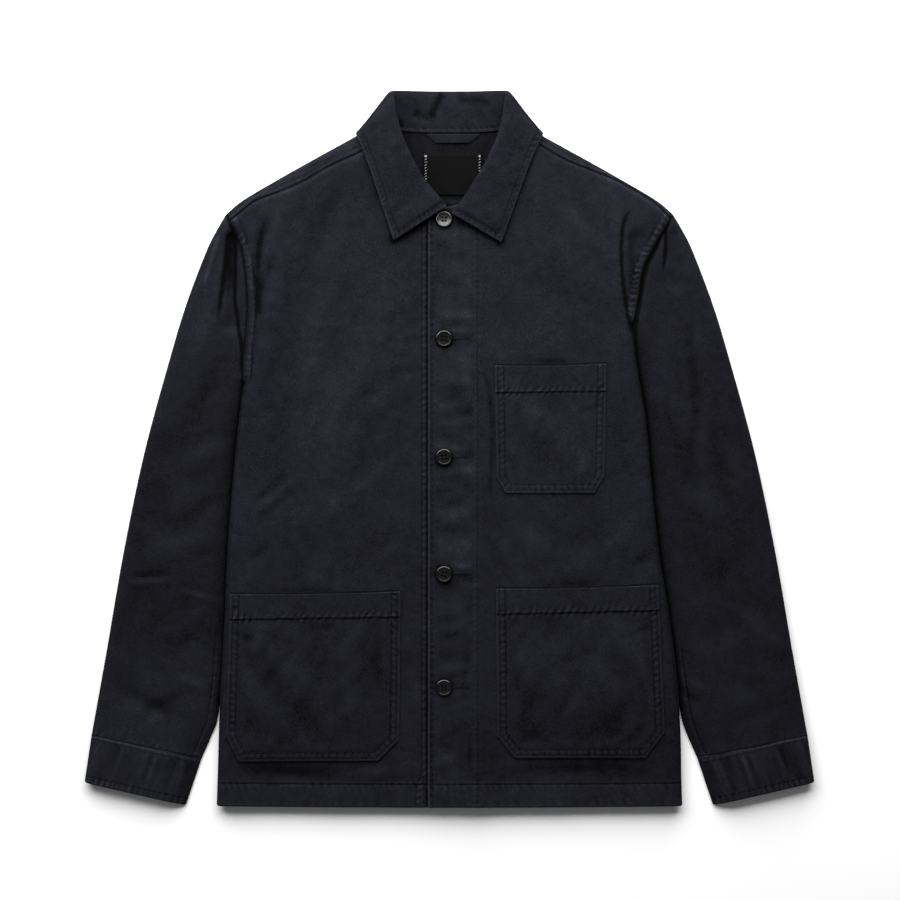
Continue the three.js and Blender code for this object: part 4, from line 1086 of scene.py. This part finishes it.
def make_sleeve(side):
    spread = refined(ARM_STATIONS, RING_STEPS)
    run = np.linspace(0, 1, SLEEVE_ROWS + 1) ** 1.15
    armhole = side.armhole.at(spread)
    seam = lerp(np.array(CUFF_INNER_TOP, float), np.array(CUFF_OUTER_TOP, float), spread[:, None])
    plan = fill_patch(armhole, seam, side.underarm.at(run), side.sleeve_edge.at(run))

    def above(x, y):
        return sleeve_top(x, y) + sleeve_look(side, x, y, 1.0)[0] * sleeve_fade(x, y)

    def below(x, y):
        return sleeve_bottom(x, y) + 0.25 * np.abs(sleeve_look(side, -x, y, 0.0)[0]) * (1 - sleeve_fade(x,
            y))

    points = ring_grid(side, plan, above, below)
    look = sleeve_look(side, points[..., 0], points[..., 1], 1.0)
    return make_tube("sleeve_" + side.name, side, points, look, CLOTH, -1.0)


def cuff_top(side, x, y):
    _, _, outer, to_inner = sleeve_section(x, y)
    base = sleeve_top(x, y) + CUFF_STEP * outer * quarter_arc(to_inner / TUCK_ROUND)
    return base + cuff_look(side, x, y)[0] * smooth(outer * 1.25 - 0.15) * smooth(to_inner / 9)


def make_cuff(side):
    spread = refined(ARM_STATIONS, [3, 4, 7, 11, 12, 12, 12, 12, 11, 7, 4, 3])
    run = np.linspace(0, 1, 49)[:, None]
    inner = lerp(np.array(CUFF_INNER_TOP, float), np.array(CUFF_INNER_END, float), run)
    outer = lerp(np.array(CUFF_OUTER_TOP, float), np.array(CUFF_OUTER_END, float), run)
    plan = lerp(inner[:, None], outer[:, None], spread[None, :, None])
    points = ring_grid(side, plan, lambda x, y: cuff_top(side, x, y), sleeve_bottom)
    return make_tube("cuff_" + side.name, side, points, cuff_look(side, points[..., 0], points[..., 1]),
        FOLDED, 0.6)


sleeves = {side.name: make_sleeve(side) for side in (left, right)}
cuffs = {side.name: make_cuff(side) for side in (left, right)}

# Pockets
POCKET_BAND_STEP = 0.9
POCKET_GAPE = 1.6
POCKETS = {
    "chest_pocket": ((50, 91), (52, -33), (62, -49), (159, -49), (170, -30), (172, 93), 30),
    "hip_pocket_left": ((51.5, -154), (53, -316), (72, -340), (215, -340), (236, -312), (229, -150), 28),
    "hip_pocket_right": ((-54, -157), (-55.5, -320), (-79, -343), (-231, -344), (-245, -316),
        (-240.5, -160), 28),
}


def front_below(x, y):
    """The fronts' draped surface, under a pocket."""
    return np.where(x > 0, left_front_top(x, y), body_top(x, y)) + drape(x, y)


def polygon_distance(corners, x, y):
    """Distance to a closed outline and the arc position on it; the last side is the pocket's mouth."""
    best, where, run = np.full(x.shape, 1e9), np.zeros(x.shape), 0.0
    for a, b in zip(corners, corners[1:]):
        d = b - a
        length = np.linalg.norm(d)
        along = clamp01(((x - a[0]) * d[0] + (y - a[1]) * d[1]) / length**2)
        far = np.hypot(x - a[0] - along * d[0], y - a[1] - along * d[1])
        nearer = far < best
        best[nearer], where[nearer] = far[nearer], run + along[nearer] * length
        run += length
    return where, best


def pocket_frame(row):
    corners = [np.array(c, float) for c in row[:6]]
    return corners, row[6]


def pocket_surface(name, x, y):
    """A pocket's outer height, and its look."""
    corners, band = pocket_frame(POCKETS[name])
    top_in, side_in, _, _, side_out, top_out = corners
    seed = sorted(POCKETS).index(name)
    sewn, edge = polygon_distance(corners, x, y)
    u = clamp01((np.abs(x) - abs(top_in[0])) / (abs(top_out[0]) - abs(top_in[0])))
    mouth_y = lerp(top_in[1], top_out[1], u)
    foot_y = lerp(side_in[1], side_out[1], u)
    below = mouth_y - y
    v = clamp01((y - foot_y) / (mouth_y - foot_y))
    gape = POCKET_GAPE * np.sin(np.pi * u) * smooth((v - 0.6) / 0.4)
    step = POCKET_BAND_STEP * (1 - smooth((below - band + 0.6) / 1.6))
    look = beads(crumple(x, y, seed + 2), 0.7) + bare(0.35 * (1 - smooth((edge - 8.6) / 2.0)))
    look += seam(edge, 3.2, 0.25, 0.8, 0.55) + seam(edge, 9.2, 0.33, 0.9, 0.85) + ridge(edge, 0.6, 0.1,
        1.2, 0.35)
    look += beads(puckers(sewn, edge, 4.6, 8.0, 7.0, 0.25, seed, lean=0.25, fade=1.1), 2.0)
    wavy = below - band + 0.55 * noise2(x / 13, 0 * y + 3.3 * seed, seed + 4)
    uneven = 0.95 + 0.6 * noise2(x / 8, 0 * y + 5.1 * seed, seed + 5)
    look += (seam(wavy, 0.3, 0.4, 0.9, 1.2) + ridge(wavy, -1.7, 0.14, 0.9, 0.6)) * uneven
    look += beads(puckers(x, wavy, -3.5, 1.5, 8.0, 0.27, seed + 2, lean=0.5, fade=3.5), 2.0)
    look += ridge(below, 0.4, 0.15, 1.1, 1.4) + np.stack([0 * x, 0.12 * drape(x, y)])
    sag = noise2((x + 0.9 * y) / 34, (y - 0.9 * x) / 70, seed + 3) + 0.6 * noise2((x - 0.5 * y) / 17,
        y / 30, seed + 4)
    inside = smooth((edge - 10) / 16) * smooth((below - band) / 10)
    pulls = 0.5 * hump((below - band - 12) - 0.4 * edge, 3.5) * hump(edge - 18, 12) * (u > 0.5)
    # painted shade, darker towards the hem, where the light falls off, with uneven dye tone
    low = smooth((-60 - y) / 200) * (0.75 + 0.5 * smooth((x - 60) / 180))
    cloud = 0.3 * noise2(x / 45, y / 38, seed + 5) * inside - 0.35 * low
    look += np.stack([0.8 * sag * inside - pulls, 0.25 * sag * inside + cloud])
    return front_below(x, y) + SEAM_GAP + CLOTH + step + gape, look


def spaced(length, fine, marks, coarse):
    """Places along a length, fine near each mark and coarse between."""
    places, at = [0.0], 0.0
    while at < length:
        near = min(abs(at - mark) for mark in marks)
        at += fine if near < 2.2 else lerp(fine, coarse, min(1.0, (near - 2.2) / 6))
        places.append(at)
    return np.array(places) / places[-1]


def make_pocket(name):
    corners, band = pocket_frame(POCKETS[name])
    top_in, side_in, bottom_in, bottom_out, side_out, top_out = corners
    height = np.linalg.norm(top_in - side_in)
    width = np.linalg.norm(top_in - top_out)
    across = spaced(width, 0.75, (0, 3.2, 6, 9.2, width - 9.2, width - 6, width - 3.2, width), 2.4)
    corner_in = np.linalg.norm(bottom_in - side_in)
    corner_out = np.linalg.norm(bottom_out - side_out)
    outline = np.array([side_in, bottom_in, bottom_out, side_out])
    run = lengths(outline)
    marks = np.array([0, 0.35 * corner_in / width + 0.03, 1 - 0.35 * corner_out / width - 0.03, 1])
    place = np.interp(across, marks, run)
    for mark in run[1:-1]:
        place[np.argmin(np.abs(place - mark))] = mark
    bottom = np.stack([np.interp(place, run, outline[:, k]) for k in (0, 1)], 1)
    top = lerp(top_in, top_out, across[:, None])
    rows = spaced(height, 0.75, (0, 3.2, height - band, height), 2.2)[:, None]
    plan = fill_patch(bottom, top, lerp(side_in, top_in, rows), lerp(side_out, top_out, rows))
    x, y = plan[..., 0], plan[..., 1]
    y -= 1.5 * np.sin(np.pi * clamp01(across)) ** 0.7 * smooth((rows - 0.75) / 0.25)
    base, look = pocket_surface(name, x, y)
    z = base + look[0]
    # the mouth's turned edge, seen into from above, in painted deep shade
    wear_and_shade = wear_and_shade_of(look, times=8, full=0.5).reshape(x.shape)
    for rise, drop in ((0.5, 0.7), (1.3, 1.9), (2.2, 2.4)):
        x = np.concatenate([x, x[-1:]])
        y = np.concatenate([y, y[len(plan) - 1 : len(plan)] + rise])
        z = np.concatenate([z, z[len(plan) - 1 : len(plan)] - drop])
        wear_and_shade = np.concatenate([wear_and_shade, np.full((1, wear_and_shade.shape[1]), SHADED)])
    quads = grid_quads(*x.shape, turned=top_in[0] < 0)
    edge_wear_and_shade = np.full(x.shape, 0.35)
    edge_wear_and_shade[-4:] = SHADED
    return cloth_piece(name, np.stack([x, y, z], -1), quads, CLOTH, wear_and_shade.ravel(), cloth, edge_wear_and_shade)


pockets = {name: make_pocket(name) for name in POCKETS}

# Collar
# Rows from the middle of the back to the front end: seam x, y, z, roll x, y, z, edge x, y, z
COLLAR_BACK = [
    (0, 348, 5.6, 0, 392, 3.6, 0, 341, 1.1),
    (28, 348.3, 5.6, 30, 392.4, 3.6, 42, 341.5, 1.1),
    (52, 350, 6, 53, 393, 4.2, 78, 343, 1.6),
    (66, 353, 8, 61.5, 392.6, 6.6, 95.5, 347.5, 3.8),
    (71, 353, 12, 63, 390.5, 11.5, 101.5, 347, 10.5),
    (71, 349, 16.5, 61.5, 383, 18, 101, 343, 17),
    (68, 336, 17.5, 58.5, 366, 21, 97, 335, 19.5),
]
COLLAR_FRONT = {
    "left": [
        (63, 318, 16.5, 54, 345, 22, 89, 317, 20),
        (53, 300, 16.5, 42, 317, 22, 80, 293, 20),
        (40, 283, 17, 26, 290, 22, 69, 262, 20),
        (20, 260.5, 19.6, 3.4, 257.6, 23.5, 56.3, 227, 21),
    ],
    "right": [
        (63, 318, 16.5, 53, 345, 22, 90, 317, 20),
        (53, 301, 16.5, 42, 320, 22, 82, 294, 20),
        (40, 285, 17, 27.6, 294.6, 22, 72, 263, 20),
        (20, 265.5, 19.6, 3.8, 265.4, 23.5, 60.7, 229.4, 21),
    ],
}
STAND_FOLDS = [
    Fold([(-8, 392), (-12, 383), (-17, 373), (-23, 366)], 4.0, 0.6, 0.8),
    Fold([(-66, 376), (-63, 366), (-58, 358), (-50, 354)], 5.0, 0.6, 0.9),
    Fold([(62, 380), (60, 368), (57, 359)], 4.0, 0.4, 0.6),
    Fold([(8, 380), (26, 384), (46, 380)], 4.0, 0.4, 0.5),
    Fold([(-40, 372), (-28, 366), (-12, 364)], 4.0, 0.4, 0.4),
]
ROLL_OPEN = 2.3
LEAF_CLEAR = 0.5
COLLAR_STEPS = 118


def collar_half(sign, name):
    rows = np.array([*COLLAR_BACK, *COLLAR_FRONT[name]], float)
    t = np.linspace(0, 1, COLLAR_STEPS + 1)
    lines = spline_points(rows, t, True).reshape(-1, 3, 3)
    lines[..., 0] *= sign
    seam, roll, edge = lines[:, 0], lines[:, 1], lines[:, 2]
    turn = (np.pi * smooth((t - 0.2) / 0.3))[:, None]
    away = roll - (seam + edge) / 2
    away[:, 2] = 0
    away = unit(away)
    fold = np.array([0, 0, -1.0]) * np.cos(turn) + np.array([sign * 0.77, 0.64, 0]) * np.sin(turn)
    return seam, roll, edge, away, fold


def collar_middle():
    halves = {sign: collar_half(sign, name) for sign, name in ((1, "left"), (-1, "right"))}
    seam, roll, edge, away, fold = (
        np.concatenate([halves[-1][k][1:][::-1], halves[1][k]]) for k in range(5)
    )
    knots = []
    for part, share in (("s", 0), ("s", 0.5), ("s", 0.93), ("r", 1), ("l", 0.06), ("l", 0.35), ("l", 0.7),
        ("l", 1)):
        if part == "r":
            knots.append(roll)
            continue
        near = float(smooth(share) if part == "s" else smooth(1 - share))
        opened = ROLL_OPEN * (-near if part == "s" else near)
        base = lerp(seam, roll, share) if part == "s" else lerp(roll, edge, share)
        knots.append(base + fold * opened - away * ROLL_OPEN * 0.6 * near)
    return np.stack(knots, 1), fold


def make_collar():
    knots, fold = collar_middle()
    # raised clear of the cloth it lies on, as its solid is
    on_front = (np.abs(fold[:, 2]) > 0.5)[:, None] & (knots[..., 2] > EDGE_Z + 5)
    clear = front_top(knots[..., 0], knots[..., 1]) + LEAF_CLEAR + COLLAR_CLOTH / 2
    knots[..., 2] = np.where(on_front, np.maximum(knots[..., 2], clear), knots[..., 2])
    rows, count = knots.shape[:2]
    share = refined([0, 1 / 7, 2 / 7, 3 / 7, 4 / 7, 5 / 7, 6 / 7, 1], [10, 10, 5, 5, 9, 10, 14])
    columns = len(share)
    middle = spline_points(knots.transpose(1, 0, 2).reshape(count, -1), share, True)
    middle = middle.reshape(columns, rows, 3).transpose(1, 0, 2)
    quads = grid_quads(rows, columns, turned=True)
    normal = point_normals(middle.reshape(-1, 3), quads).reshape(middle.shape)
    # distances over the cloth, from the leaf's outer edge and from its front ends
    across = np.linalg.norm(np.diff(middle, axis=1), axis=2)
    from_edge = np.concatenate([np.cumsum(across[:, ::-1], 1)[:, ::-1], np.zeros((rows, 1))], 1)
    from_seam = from_edge[:, :1] - from_edge
    along = np.linalg.norm(np.diff(middle, axis=0), axis=2)
    run = np.concatenate([np.zeros((1, columns)), np.cumsum(along, 0)])
    from_end = np.minimum(run, run[-1:] - run)
    leaf = share[None] > 3 / 7
    d = np.where(leaf, np.minimum(from_edge, from_end), 99.0)
    s = np.where(from_edge < from_end, run, from_edge)
    relief = 0.3 * noise2(run / 24, from_edge / 30, 3) + 0.14 * noise2(run / 9, from_edge / 11, 4)
    look = beads(relief, 0.8) + bare(0.2 * (1 - smooth((d - 5.6) / 1.6)))
    look += beads(puckers(s, d, 1.4, 5.2, 6.4, 0.2, 2, lean=0.35, fade=1.2), 2.0)
    look += seam(d, 6.4, 0.28, 0.75, 0.6) + ridge(d, 0, 0.1, 1.3, 0.9)
    on_stand = np.broadcast_to(share[None] < 3 / 7, d.shape)
    in_stand = beads(puckers(run, from_seam, 0, 3, 8, 0.14, 5, fade=3), 2.0) + seam(from_seam, 4.4, 0.12,
        0.7, 0.2)
    in_stand += ridge(from_seam, 1.6, 0.12, 0.8, 0.9)
    in_stand += folded(STAND_FOLDS, middle[..., 0], middle[..., 1])
    look += in_stand * on_stand
    look[1] -= 0.2 + 0.2 * on_stand
    points = middle + normal * (COLLAR_CLOTH / 2 + look[0][..., None])
    points[..., 2] = np.maximum(points[..., 2], 0.05)
    piece = cloth_piece("collar", points, quads, COLLAR_CLOTH, wear_and_shade_of(look), cloth, 1.0)
    return piece, points, normal, from_edge, from_end, from_seam, share


collar, collar_points, collar_normals, *collar_distances, collar_share = make_collar()
collar_from_edge, collar_from_end, collar_from_seam = collar_distances

# Label and hanger loop
LABEL = (-29, 36, 279, 323.5)
LABEL_CLOTH = 1.0
LOOP_BULGE = 2.0


def inside_back(x, y):
    return body_bottom(x, y) + CLOTH


def make_on_back(node, x_bottom, x_top, y_bottom, y_top, thickness, bulge, material, slot, edge_wear_and_shade):
    u, v = np.meshgrid(np.linspace(0, 1, 61), np.linspace(0, 1, 25))
    x = lerp(lerp(x_bottom[0], x_bottom[1], u), lerp(x_top[0], x_top[1], u), v)
    y = lerp(y_bottom, y_top, v)
    lift = bulge * np.sin(np.pi * u) * (1 - 0.5 * v)
    relief = 0.12 * noise2(x / 13, y / 13, 2)
    z = inside_back(x, y) + SEAM_GAP + thickness + lift + relief
    points, wear_and_shade = np.stack([x, y, z], -1), wear_and_shade_of(bare(relief))
    return cloth_piece(
        node, points, grid_quads(*x.shape), thickness, wear_and_shade, material, edge_wear_and_shade, slot=slot, name="{}_cloth"
    )


def label_material():
    paint = Paint("label_black", Roughness=0.75, Specular_IOR_Level=0.04)
    place = paint.place()
    weave = paint.stripes(place, Scale=420.0, Distortion=0.6).outputs[1]
    cloud = paint.noise(place, Scale=90.0, Detail=3.0)
    tone = paint.sum(paint.times(weave, 0.4), paint.times(cloud, 0.6))
    paint.colours(tone, (0.0, (0.0012, 0.0010, 0.0011)), (1.0, (0.0030, 0.0026, 0.0028)))
    paint.bump(tone, 0.35, 0.0003)
    return paint.material


label = make_on_back(
    "neck_label", LABEL[:2], LABEL[:2], *LABEL[2:], LABEL_CLOTH, 0, label_material(), "label_black", 0
)
loop = make_on_back(
    "hanger_loop", (-15, 22), (-25, 33), 336.5, 345.5, CLOTH, LOOP_BULGE, inside_cloth, "navy_inside", 0.8
)

# Buttons
BUTTON_PROFILE = [
    (0.0, 0.0),
    (6.2, 0.0),
    (7.6, 0.35),
    (8.5, 1.1),
    (8.9, 1.95),
    (8.8, 2.6),
    (8.4, 3.05),
    (7.85, 3.2),
    (7.4, 3.1),
    (7.15, 2.7),
    (6.98, 1.95),
    (6.82, 1.64),
    (6.5, 1.62),
    (3.5, 1.42),
    (0.0, 1.34),
]


def lathe(profile, segments):
    radii, heights = np.array(profile).T
    angle = np.linspace(0, 2 * np.pi, segments, endpoint=False)
    vertices, faces = [], []
    for r, z in zip(radii[1:-1], heights[1:-1]):
        vertices += [(r * math.cos(a), r * math.sin(a), z) for a in angle]
    rings = len(radii) - 2
    for ring in range(rings - 1):
        for k in range(segments):
            after = (k + 1) % segments
            faces.append([ring * segments + k, ring * segments + after, (ring + 1) * segments + after,
                (ring + 1) * segments + k])
    faces.append(list(range(segments))[::-1])
    faces.append([(rings - 1) * segments + k for k in range(segments)])
    mesh = bpy.data.meshes.new("lathe")
    mesh.from_pydata([tuple(c * MM for c in v) for v in vertices], [], faces)
    return mesh


def horn_material():
    paint = Paint("dark_horn", Coat_Weight=0.35, Coat_Roughness=0.08)
    streaks = paint.noise(paint.place(), Scale=160.0, Detail=4.0, Distortion=1.2)
    paint.colours(streaks, (0.35, (0.0008, 0.0007, 0.0006)), (0.75, (0.0030, 0.0022, 0.0018)))
    paint.set(paint.shader, {"Roughness": paint.sum(paint.times(streaks, 0.14), 0.09)})
    return paint.material


def make_button_mesh():
    body = bpy.data.objects.new("button_body", lathe(BUTTON_PROFILE, 56))
    bpy.context.collection.objects.link(body)
    drills = []
    for sx, sy in ((1, 1), (1, -1), (-1, 1), (-1, -1)):
        drill = bpy.data.objects.new("drill", lathe([(0, -2), (1.1, -2), (1.1, 6), (0, 6)], 20))
        drill.location = (sx * 1.85 * MM, sy * 1.85 * MM, 0)
        bpy.context.collection.objects.link(drill)
        cut = body.modifiers.new("hole", "BOOLEAN")
        cut.operation, cut.object, cut.solver = "DIFFERENCE", drill, "EXACT"
        drills.append(drill)
    bpy.context.view_layer.update()
    made = bpy.data.meshes.new_from_object(body.evaluated_get(bpy.context.evaluated_depsgraph_get()))
    for o in (body, *drills):
        bpy.data.objects.remove(o)
    made.polygons.foreach_set("use_smooth", [True] * len(made.polygons))
    made.set_sharp_from_angle(angle=math.radians(38))
    made.materials.clear()
    made.materials.append(horn)
    return made


horn = horn_material()
button_mesh = make_button_mesh()
buttons, button_threads = [], []
for number, button_y in enumerate(BUTTON_YS, 1):
    button = bpy.data.objects.new(f"horn_button_{number}", button_mesh.copy())
    base = float(left_front_top(np.array([BUTTON_X]), np.array([button_y]))[0]) + SEAM_GAP
    # the top one leans on the collar, its face turned a little to the light
    turn, tilt, lift = ((0.0, 0.07, 0.6), (-0.12, 0, 0), (0.2, 0, 0), (-0.25, 0, 0),
        (0.1, 0, 0))[number - 1]
    c, s = math.cos(turn), math.sin(turn)
    lean = np.array([[1, 0, 0], [0, math.cos(tilt), math.sin(tilt)], [0, -math.sin(tilt), math.cos(tilt)]])
    spin = lean @ np.array([[c, -s, 0], [s, c, 0], [0, 0, 1]])
    base += lift
    co = np.zeros(len(button.data.vertices) * 3, np.float32)
    button.data.vertices.foreach_get("co", co)
    co = co.reshape(-1, 3) @ spin.T + np.array([BUTTON_X, button_y, base]) * MM
    button.data.vertices.foreach_set("co", co.astype(np.float32).ravel())
    bpy.context.collection.objects.link(button)
    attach(button, "root")
    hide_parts(f"button_{number}")
    buttons.append(button)
    # threads across the holes
    places = np.array([(0, 1.85, 1.55), (0, -1.85, 1.55)]) @ spin.T + (BUTTON_X, button_y, base)
    ups, heading = np.tile(spin[:, 2], (2, 1)), np.tile(spin[:, 0], (2, 1))
    name = f"button_thread_{number}"
    button_threads.append(thread_strokes(name, places, heading, ups, 4.4, 0.8, 1.3, 0.6, dark_thread,
        "navy_inside"))


# Stitching
def true_path(points, sign):
    return np.column_stack([np.asarray(points)[:, 0] * sign, np.asarray(points)[:, 1]])


def hem_path(x0, x1, rise):
    x = np.linspace(x0, x1, 120)
    return np.column_stack([x, hem_line(x, HEM_Y) + rise])


def stitch_front(side):
    paths = []
    for offset in (1.9, 8.6):
        paths.append(offset_curve(side.armhole, offset, side.sign, 0.03 if side is left else 0.0, 0.93))
    if side is left:
        paths += [hem_path(-21, 250, 24.6), [(FRONT_EDGE + 4.6, HEM_Y + 2), (FRONT_EDGE + 4.6, 246)],
            [(FACING_LINE, HEM_Y + 2), (FACING_LINE, 262)]]
    else:
        y = np.linspace(HEM_Y + 2, 262, 200)
        paths += [hem_path(-250, -27, 24.6), np.column_stack([under_facing_x(y), y])]
    places = height_strokes(paths, lambda x, y: front_surface(side, x, y))
    return thread_strokes(f"front_{side.name}_stitching", *places)


def inset_outline(corners, inset):
    """The pocket's sewn outline moved inwards: side, cut corner, bottom, cut corner, side."""
    points = np.array(corners)
    centre = points.mean(0)
    moved = []
    for k in range(len(points) - 1):
        a, b = points[k], points[k + 1]
        d = unit(b - a)
        aside = np.array([-d[1], d[0]])
        if (centre - a) @ aside < 0:
            aside = -aside
        moved.append((a + aside * inset, d))
    path = [moved[0][0]]
    for (p, d), (q, e) in zip(moved, moved[1:]):
        k = ((q - p)[0] * e[1] - (q - p)[1] * e[0]) / (d[0] * e[1] - d[1] * e[0])
        path.append(p + d * k)
    path.append(moved[-1][0] + moved[-1][1] * np.linalg.norm(points[-1] - points[-2]))
    return np.array(path)


def stitch_pocket(name):
    corners, band = pocket_frame(POCKETS[name])
    paths = [inset_outline(corners, inset) for inset in (3.2, 9.2)]
    top_in, top_out = corners[0], corners[5]
    level = unit(top_out - top_in)
    line = np.linspace(top_in + level * 3, top_out - level * 3, 60) - (0, band + 0.3)
    line[:, 1] -= 1.5 * np.sin(np.pi * np.linspace(0, 1, 60)) ** 0.7 * 0.4
    paths.append(line)

    def outer(x, y):
        base, look = pocket_surface(name, x, y)
        return base + look[0]

    places = height_strokes(paths, outer)
    return thread_strokes(name + "_stitching", *places)


def stitch_cuff(side):
    inner_top, inner_end = np.array(CUFF_INNER_TOP, float), np.array(CUFF_INNER_END, float)
    outer_top, outer_end = np.array(CUFF_OUTER_TOP, float), np.array(CUFF_OUTER_END, float)
    across, down = unit(outer_end - inner_end), unit(inner_end - inner_top)
    low, high = inner_end - down * 6.4, inner_top + down * 3.2
    turn_in = 11.0
    corner = [low + across * (turn_in + 6), low + across * (turn_in + 1.5) - down * 1.2,
        low + across * turn_in - down * 6]
    paths = [
        true_path([outer_end - down * 6.4 - across * 4, *corner, high + across * turn_in], side.sign),
        true_path([high + across * turn_in, outer_top + down * 3.2 - across * 4], side.sign),
    ]
    places = height_strokes(paths, lambda x, y: cuff_top(side, x, y))
    return thread_strokes(f"cuff_{side.name}_stitching", *places)


def stitch_collar():
    """Along the leaf's edges on its outer face, and along the stand's lower edge."""
    paths = []
    rows, columns = collar_from_edge.shape
    leaf_columns = np.flatnonzero(collar_share > 3 / 7)
    outline = []
    for row in range(rows):
        if collar_from_end[row, -1] < 7.0:
            continue
        fraction = np.interp(6.6, collar_from_edge[row, leaf_columns][::-1], leaf_columns[::-1])
        outline.append((row, fraction))
    paths.append(outline)
    for end in (0, 1):
        line = []
        for column in range(leaf_columns[0] + 6, columns):
            order = (collar_from_end[::-1] if end else collar_from_end)[: rows // 2, column]
            if collar_from_edge[rows - 1 if end else 0, column] < 6.8:
                continue
            row = np.interp(6.6, order, np.arange(rows // 2))
            line.append((rows - 1 - row if end else row, column))
        paths.append(line)
    paths.append([(row, np.interp(2.0, collar_from_seam[row], np.arange(columns))) for row in range(26,
        rows - 26)])
    centres, along, normals = [], [], []
    for path in paths:
        path = np.array(path)
        r, c = path[:, 0], path[:, 1]
        i, j = np.minimum(r.astype(int), rows - 2), np.minimum(c.astype(int), columns - 2)
        u, v = (r - i)[:, None], (c - j)[:, None]
        line, normal = (
            lerp(lerp(g[i, j], g[i + 1, j], u), lerp(g[i, j + 1], g[i + 1, j + 1], u), v)
            for g in (collar_points, collar_normals)
        )
        normal = unit(normal)
        at, heading = along_path(np.column_stack([line, normal]), 3.0)
        centres.append(at[:, :3] + unit(at[:, 3:]) * 0.08)
        along.append(heading[:, :3])
        normals.append(unit(at[:, 3:]))
    return thread_strokes("collar_stitching", *map(np.concatenate, (centres, along, normals)))


def wobble(x, y, height, seed):
    return height * float(noise2(np.array(x), np.array(y), seed))


def stitch_buttonholes():
    """Each slit, which runs outwards from its button, and the close purl stitches either side of it."""
    pale, dark = [], []
    for number, button_y in enumerate(BUTTON_YS[1:]):
        # the slit: strokes of the darkest thread, painted shade in the cut
        for x in np.arange(4.5, 23, 1.9):
            dark.append((x, button_y + wobble(x / 5.0, number * 3.7, 0.45, 3), 1, 0.12, 3.2, 1.5))
        # purls: paler thread above the slit near the button, the darkest thread for the rest
        for k, x in enumerate(np.arange(4, 22.5, 0.8)):
            y = button_y + wobble(x / 5.0, number * 3.7, 0.45, 3)
            uneven = wobble(x / 0.9, number * 2.3, 0.3, 5)
            (pale if x < 11.5 and k % 4 else dark).append((x, y + 1.35 + uneven, 0.15, 1, 1.5, 0.6))
            dark.append((x, y - 1.3 + uneven, -0.1, 1, 1.4, 0.6))
    made = []
    for name, rows, material in (("buttonhole_purls", pale, purl_thread),
        ("buttonhole_slits", dark, dark_thread)):
        for length in sorted({row[4] for row in rows}):
            x, y, across, up, _, width = np.array([row for row in rows if row[4] == length]).T
            places = np.column_stack([x, y, front_surface(left, x, y) + 0.12])
            heading = np.column_stack([across, up, 0 * x])
            up = np.tile([0, 0, 1.0], (len(x), 1))
            size = (length, width[0], 0.25, 0.4)
            made.append(thread_strokes(f"{name}_{len(made) + 1}", places, heading, up, *size, material))
    return made


def stitch_label():
    """The slanting stitches down each side of the label."""
    centres, along = [], []
    for x in (LABEL[0] + 2.8, LABEL[1] - 2.8):
        for y in np.arange(LABEL[2] + 2, LABEL[3] - 4, 3.1):
            centres.append((x, y))
            along.append((2.4, 1.3))
        for drop in (1.2, 1.9, 2.6):
            centres.append((x, LABEL[3] - drop))
            along.append((1, 0))
    flat = np.array(centres)
    z = inside_back(flat[:, 0], flat[:, 1]) + SEAM_GAP + LABEL_CLOTH + 0.2
    heading = np.column_stack([np.array(along), np.zeros(len(flat))])
    up = np.tile([0, 0, 1.0], (len(flat), 1))
    size = (3.2, 0.5, 0.2, 0.6)
    return thread_strokes("label_zigzag", np.column_stack([flat, z]), heading, up, *size, pale_thread,
        "label_black")


front_stitches = {side.name: stitch_front(side) for side in (left, right)}
pocket_stitches = {name: stitch_pocket(name) for name in POCKETS}
cuff_stitches = {side.name: stitch_cuff(side) for side in (left, right)}
collar_stitches = stitch_collar()
buttonholes = stitch_buttonholes()
label_zigzag = stitch_label()

# What the two fronts were cut to, in metres, and the parts sewn on the left one; the loop does nothing with
# them
for piece, flat, area, extra in (
    (front_left, (0.284, 0.742), 0.177, [*buttonholes, *buttons, *button_threads]),
    (front_right, (0.272, 0.735), 0.174, []),
):
    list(extra)

# Floor, light and camera
floor_mesh = bpy.data.meshes.new("floor")
floor_mesh.from_pydata([(-6, -6, -0.0002), (6, -6, -0.0002), (6, 6, -0.0002), (-6, 6, -0.0002)], [],
    [(0, 1, 2, 3)])
floor_object = bpy.data.objects.new("floor", floor_mesh)
bpy.context.collection.objects.link(floor_object)
floor_paint = Paint("floor", Base_Color=(0.88, 0.88, 0.88, 1), Roughness=0.9, Specular_IOR_Level=0.1)
floor_mesh.materials.append(floor_paint.material)

world = bpy.data.worlds.new("studio")
world.use_nodes = True
world.node_tree.nodes["Background"].inputs[0].default_value = (0.98, 0.99, 1.0, 1)
world.node_tree.nodes["Background"].inputs[1].default_value = 0.16
bpy.context.scene.world = world


def area_light(name, place, target, size, power, colour=(1, 1, 1)):
    data = bpy.data.lights.new(name, "AREA")
    data.shape, data.energy, data.color = "RECTANGLE", power, colour
    data.size, data.size_y = size
    lamp = bpy.data.objects.new(name, data)
    lamp.location = place
    direction = np.array(target, float) - np.array(place, float)
    lamp.rotation_mode = "QUATERNION"
    lamp.rotation_quaternion = Vector(direction).to_track_quat("-Z", "Y")
    bpy.context.collection.objects.link(lamp)
    return lamp


area_light("key", (-0.178, 1.123, 0.835), (0, -0.05, 0), (3.0, 1.8), 112)

camera_data = bpy.data.cameras.new("camera")
camera_data.sensor_width = 36
CAMERA_HEIGHT = 4.0
FRAME_WIDTH = 0.990
camera_data.lens = 36 * (CAMERA_HEIGHT - 0.008) / FRAME_WIDTH
camera = bpy.data.objects.new("camera", camera_data)
camera.location = (0.0005 * 1.1, -0.0016 * 1.1, CAMERA_HEIGHT)
camera.rotation_euler = (0, 0, 0)
bpy.context.collection.objects.link(camera)
bpy.context.scene.camera = camera
bpy.context.scene.view_settings.view_transform = "Standard"
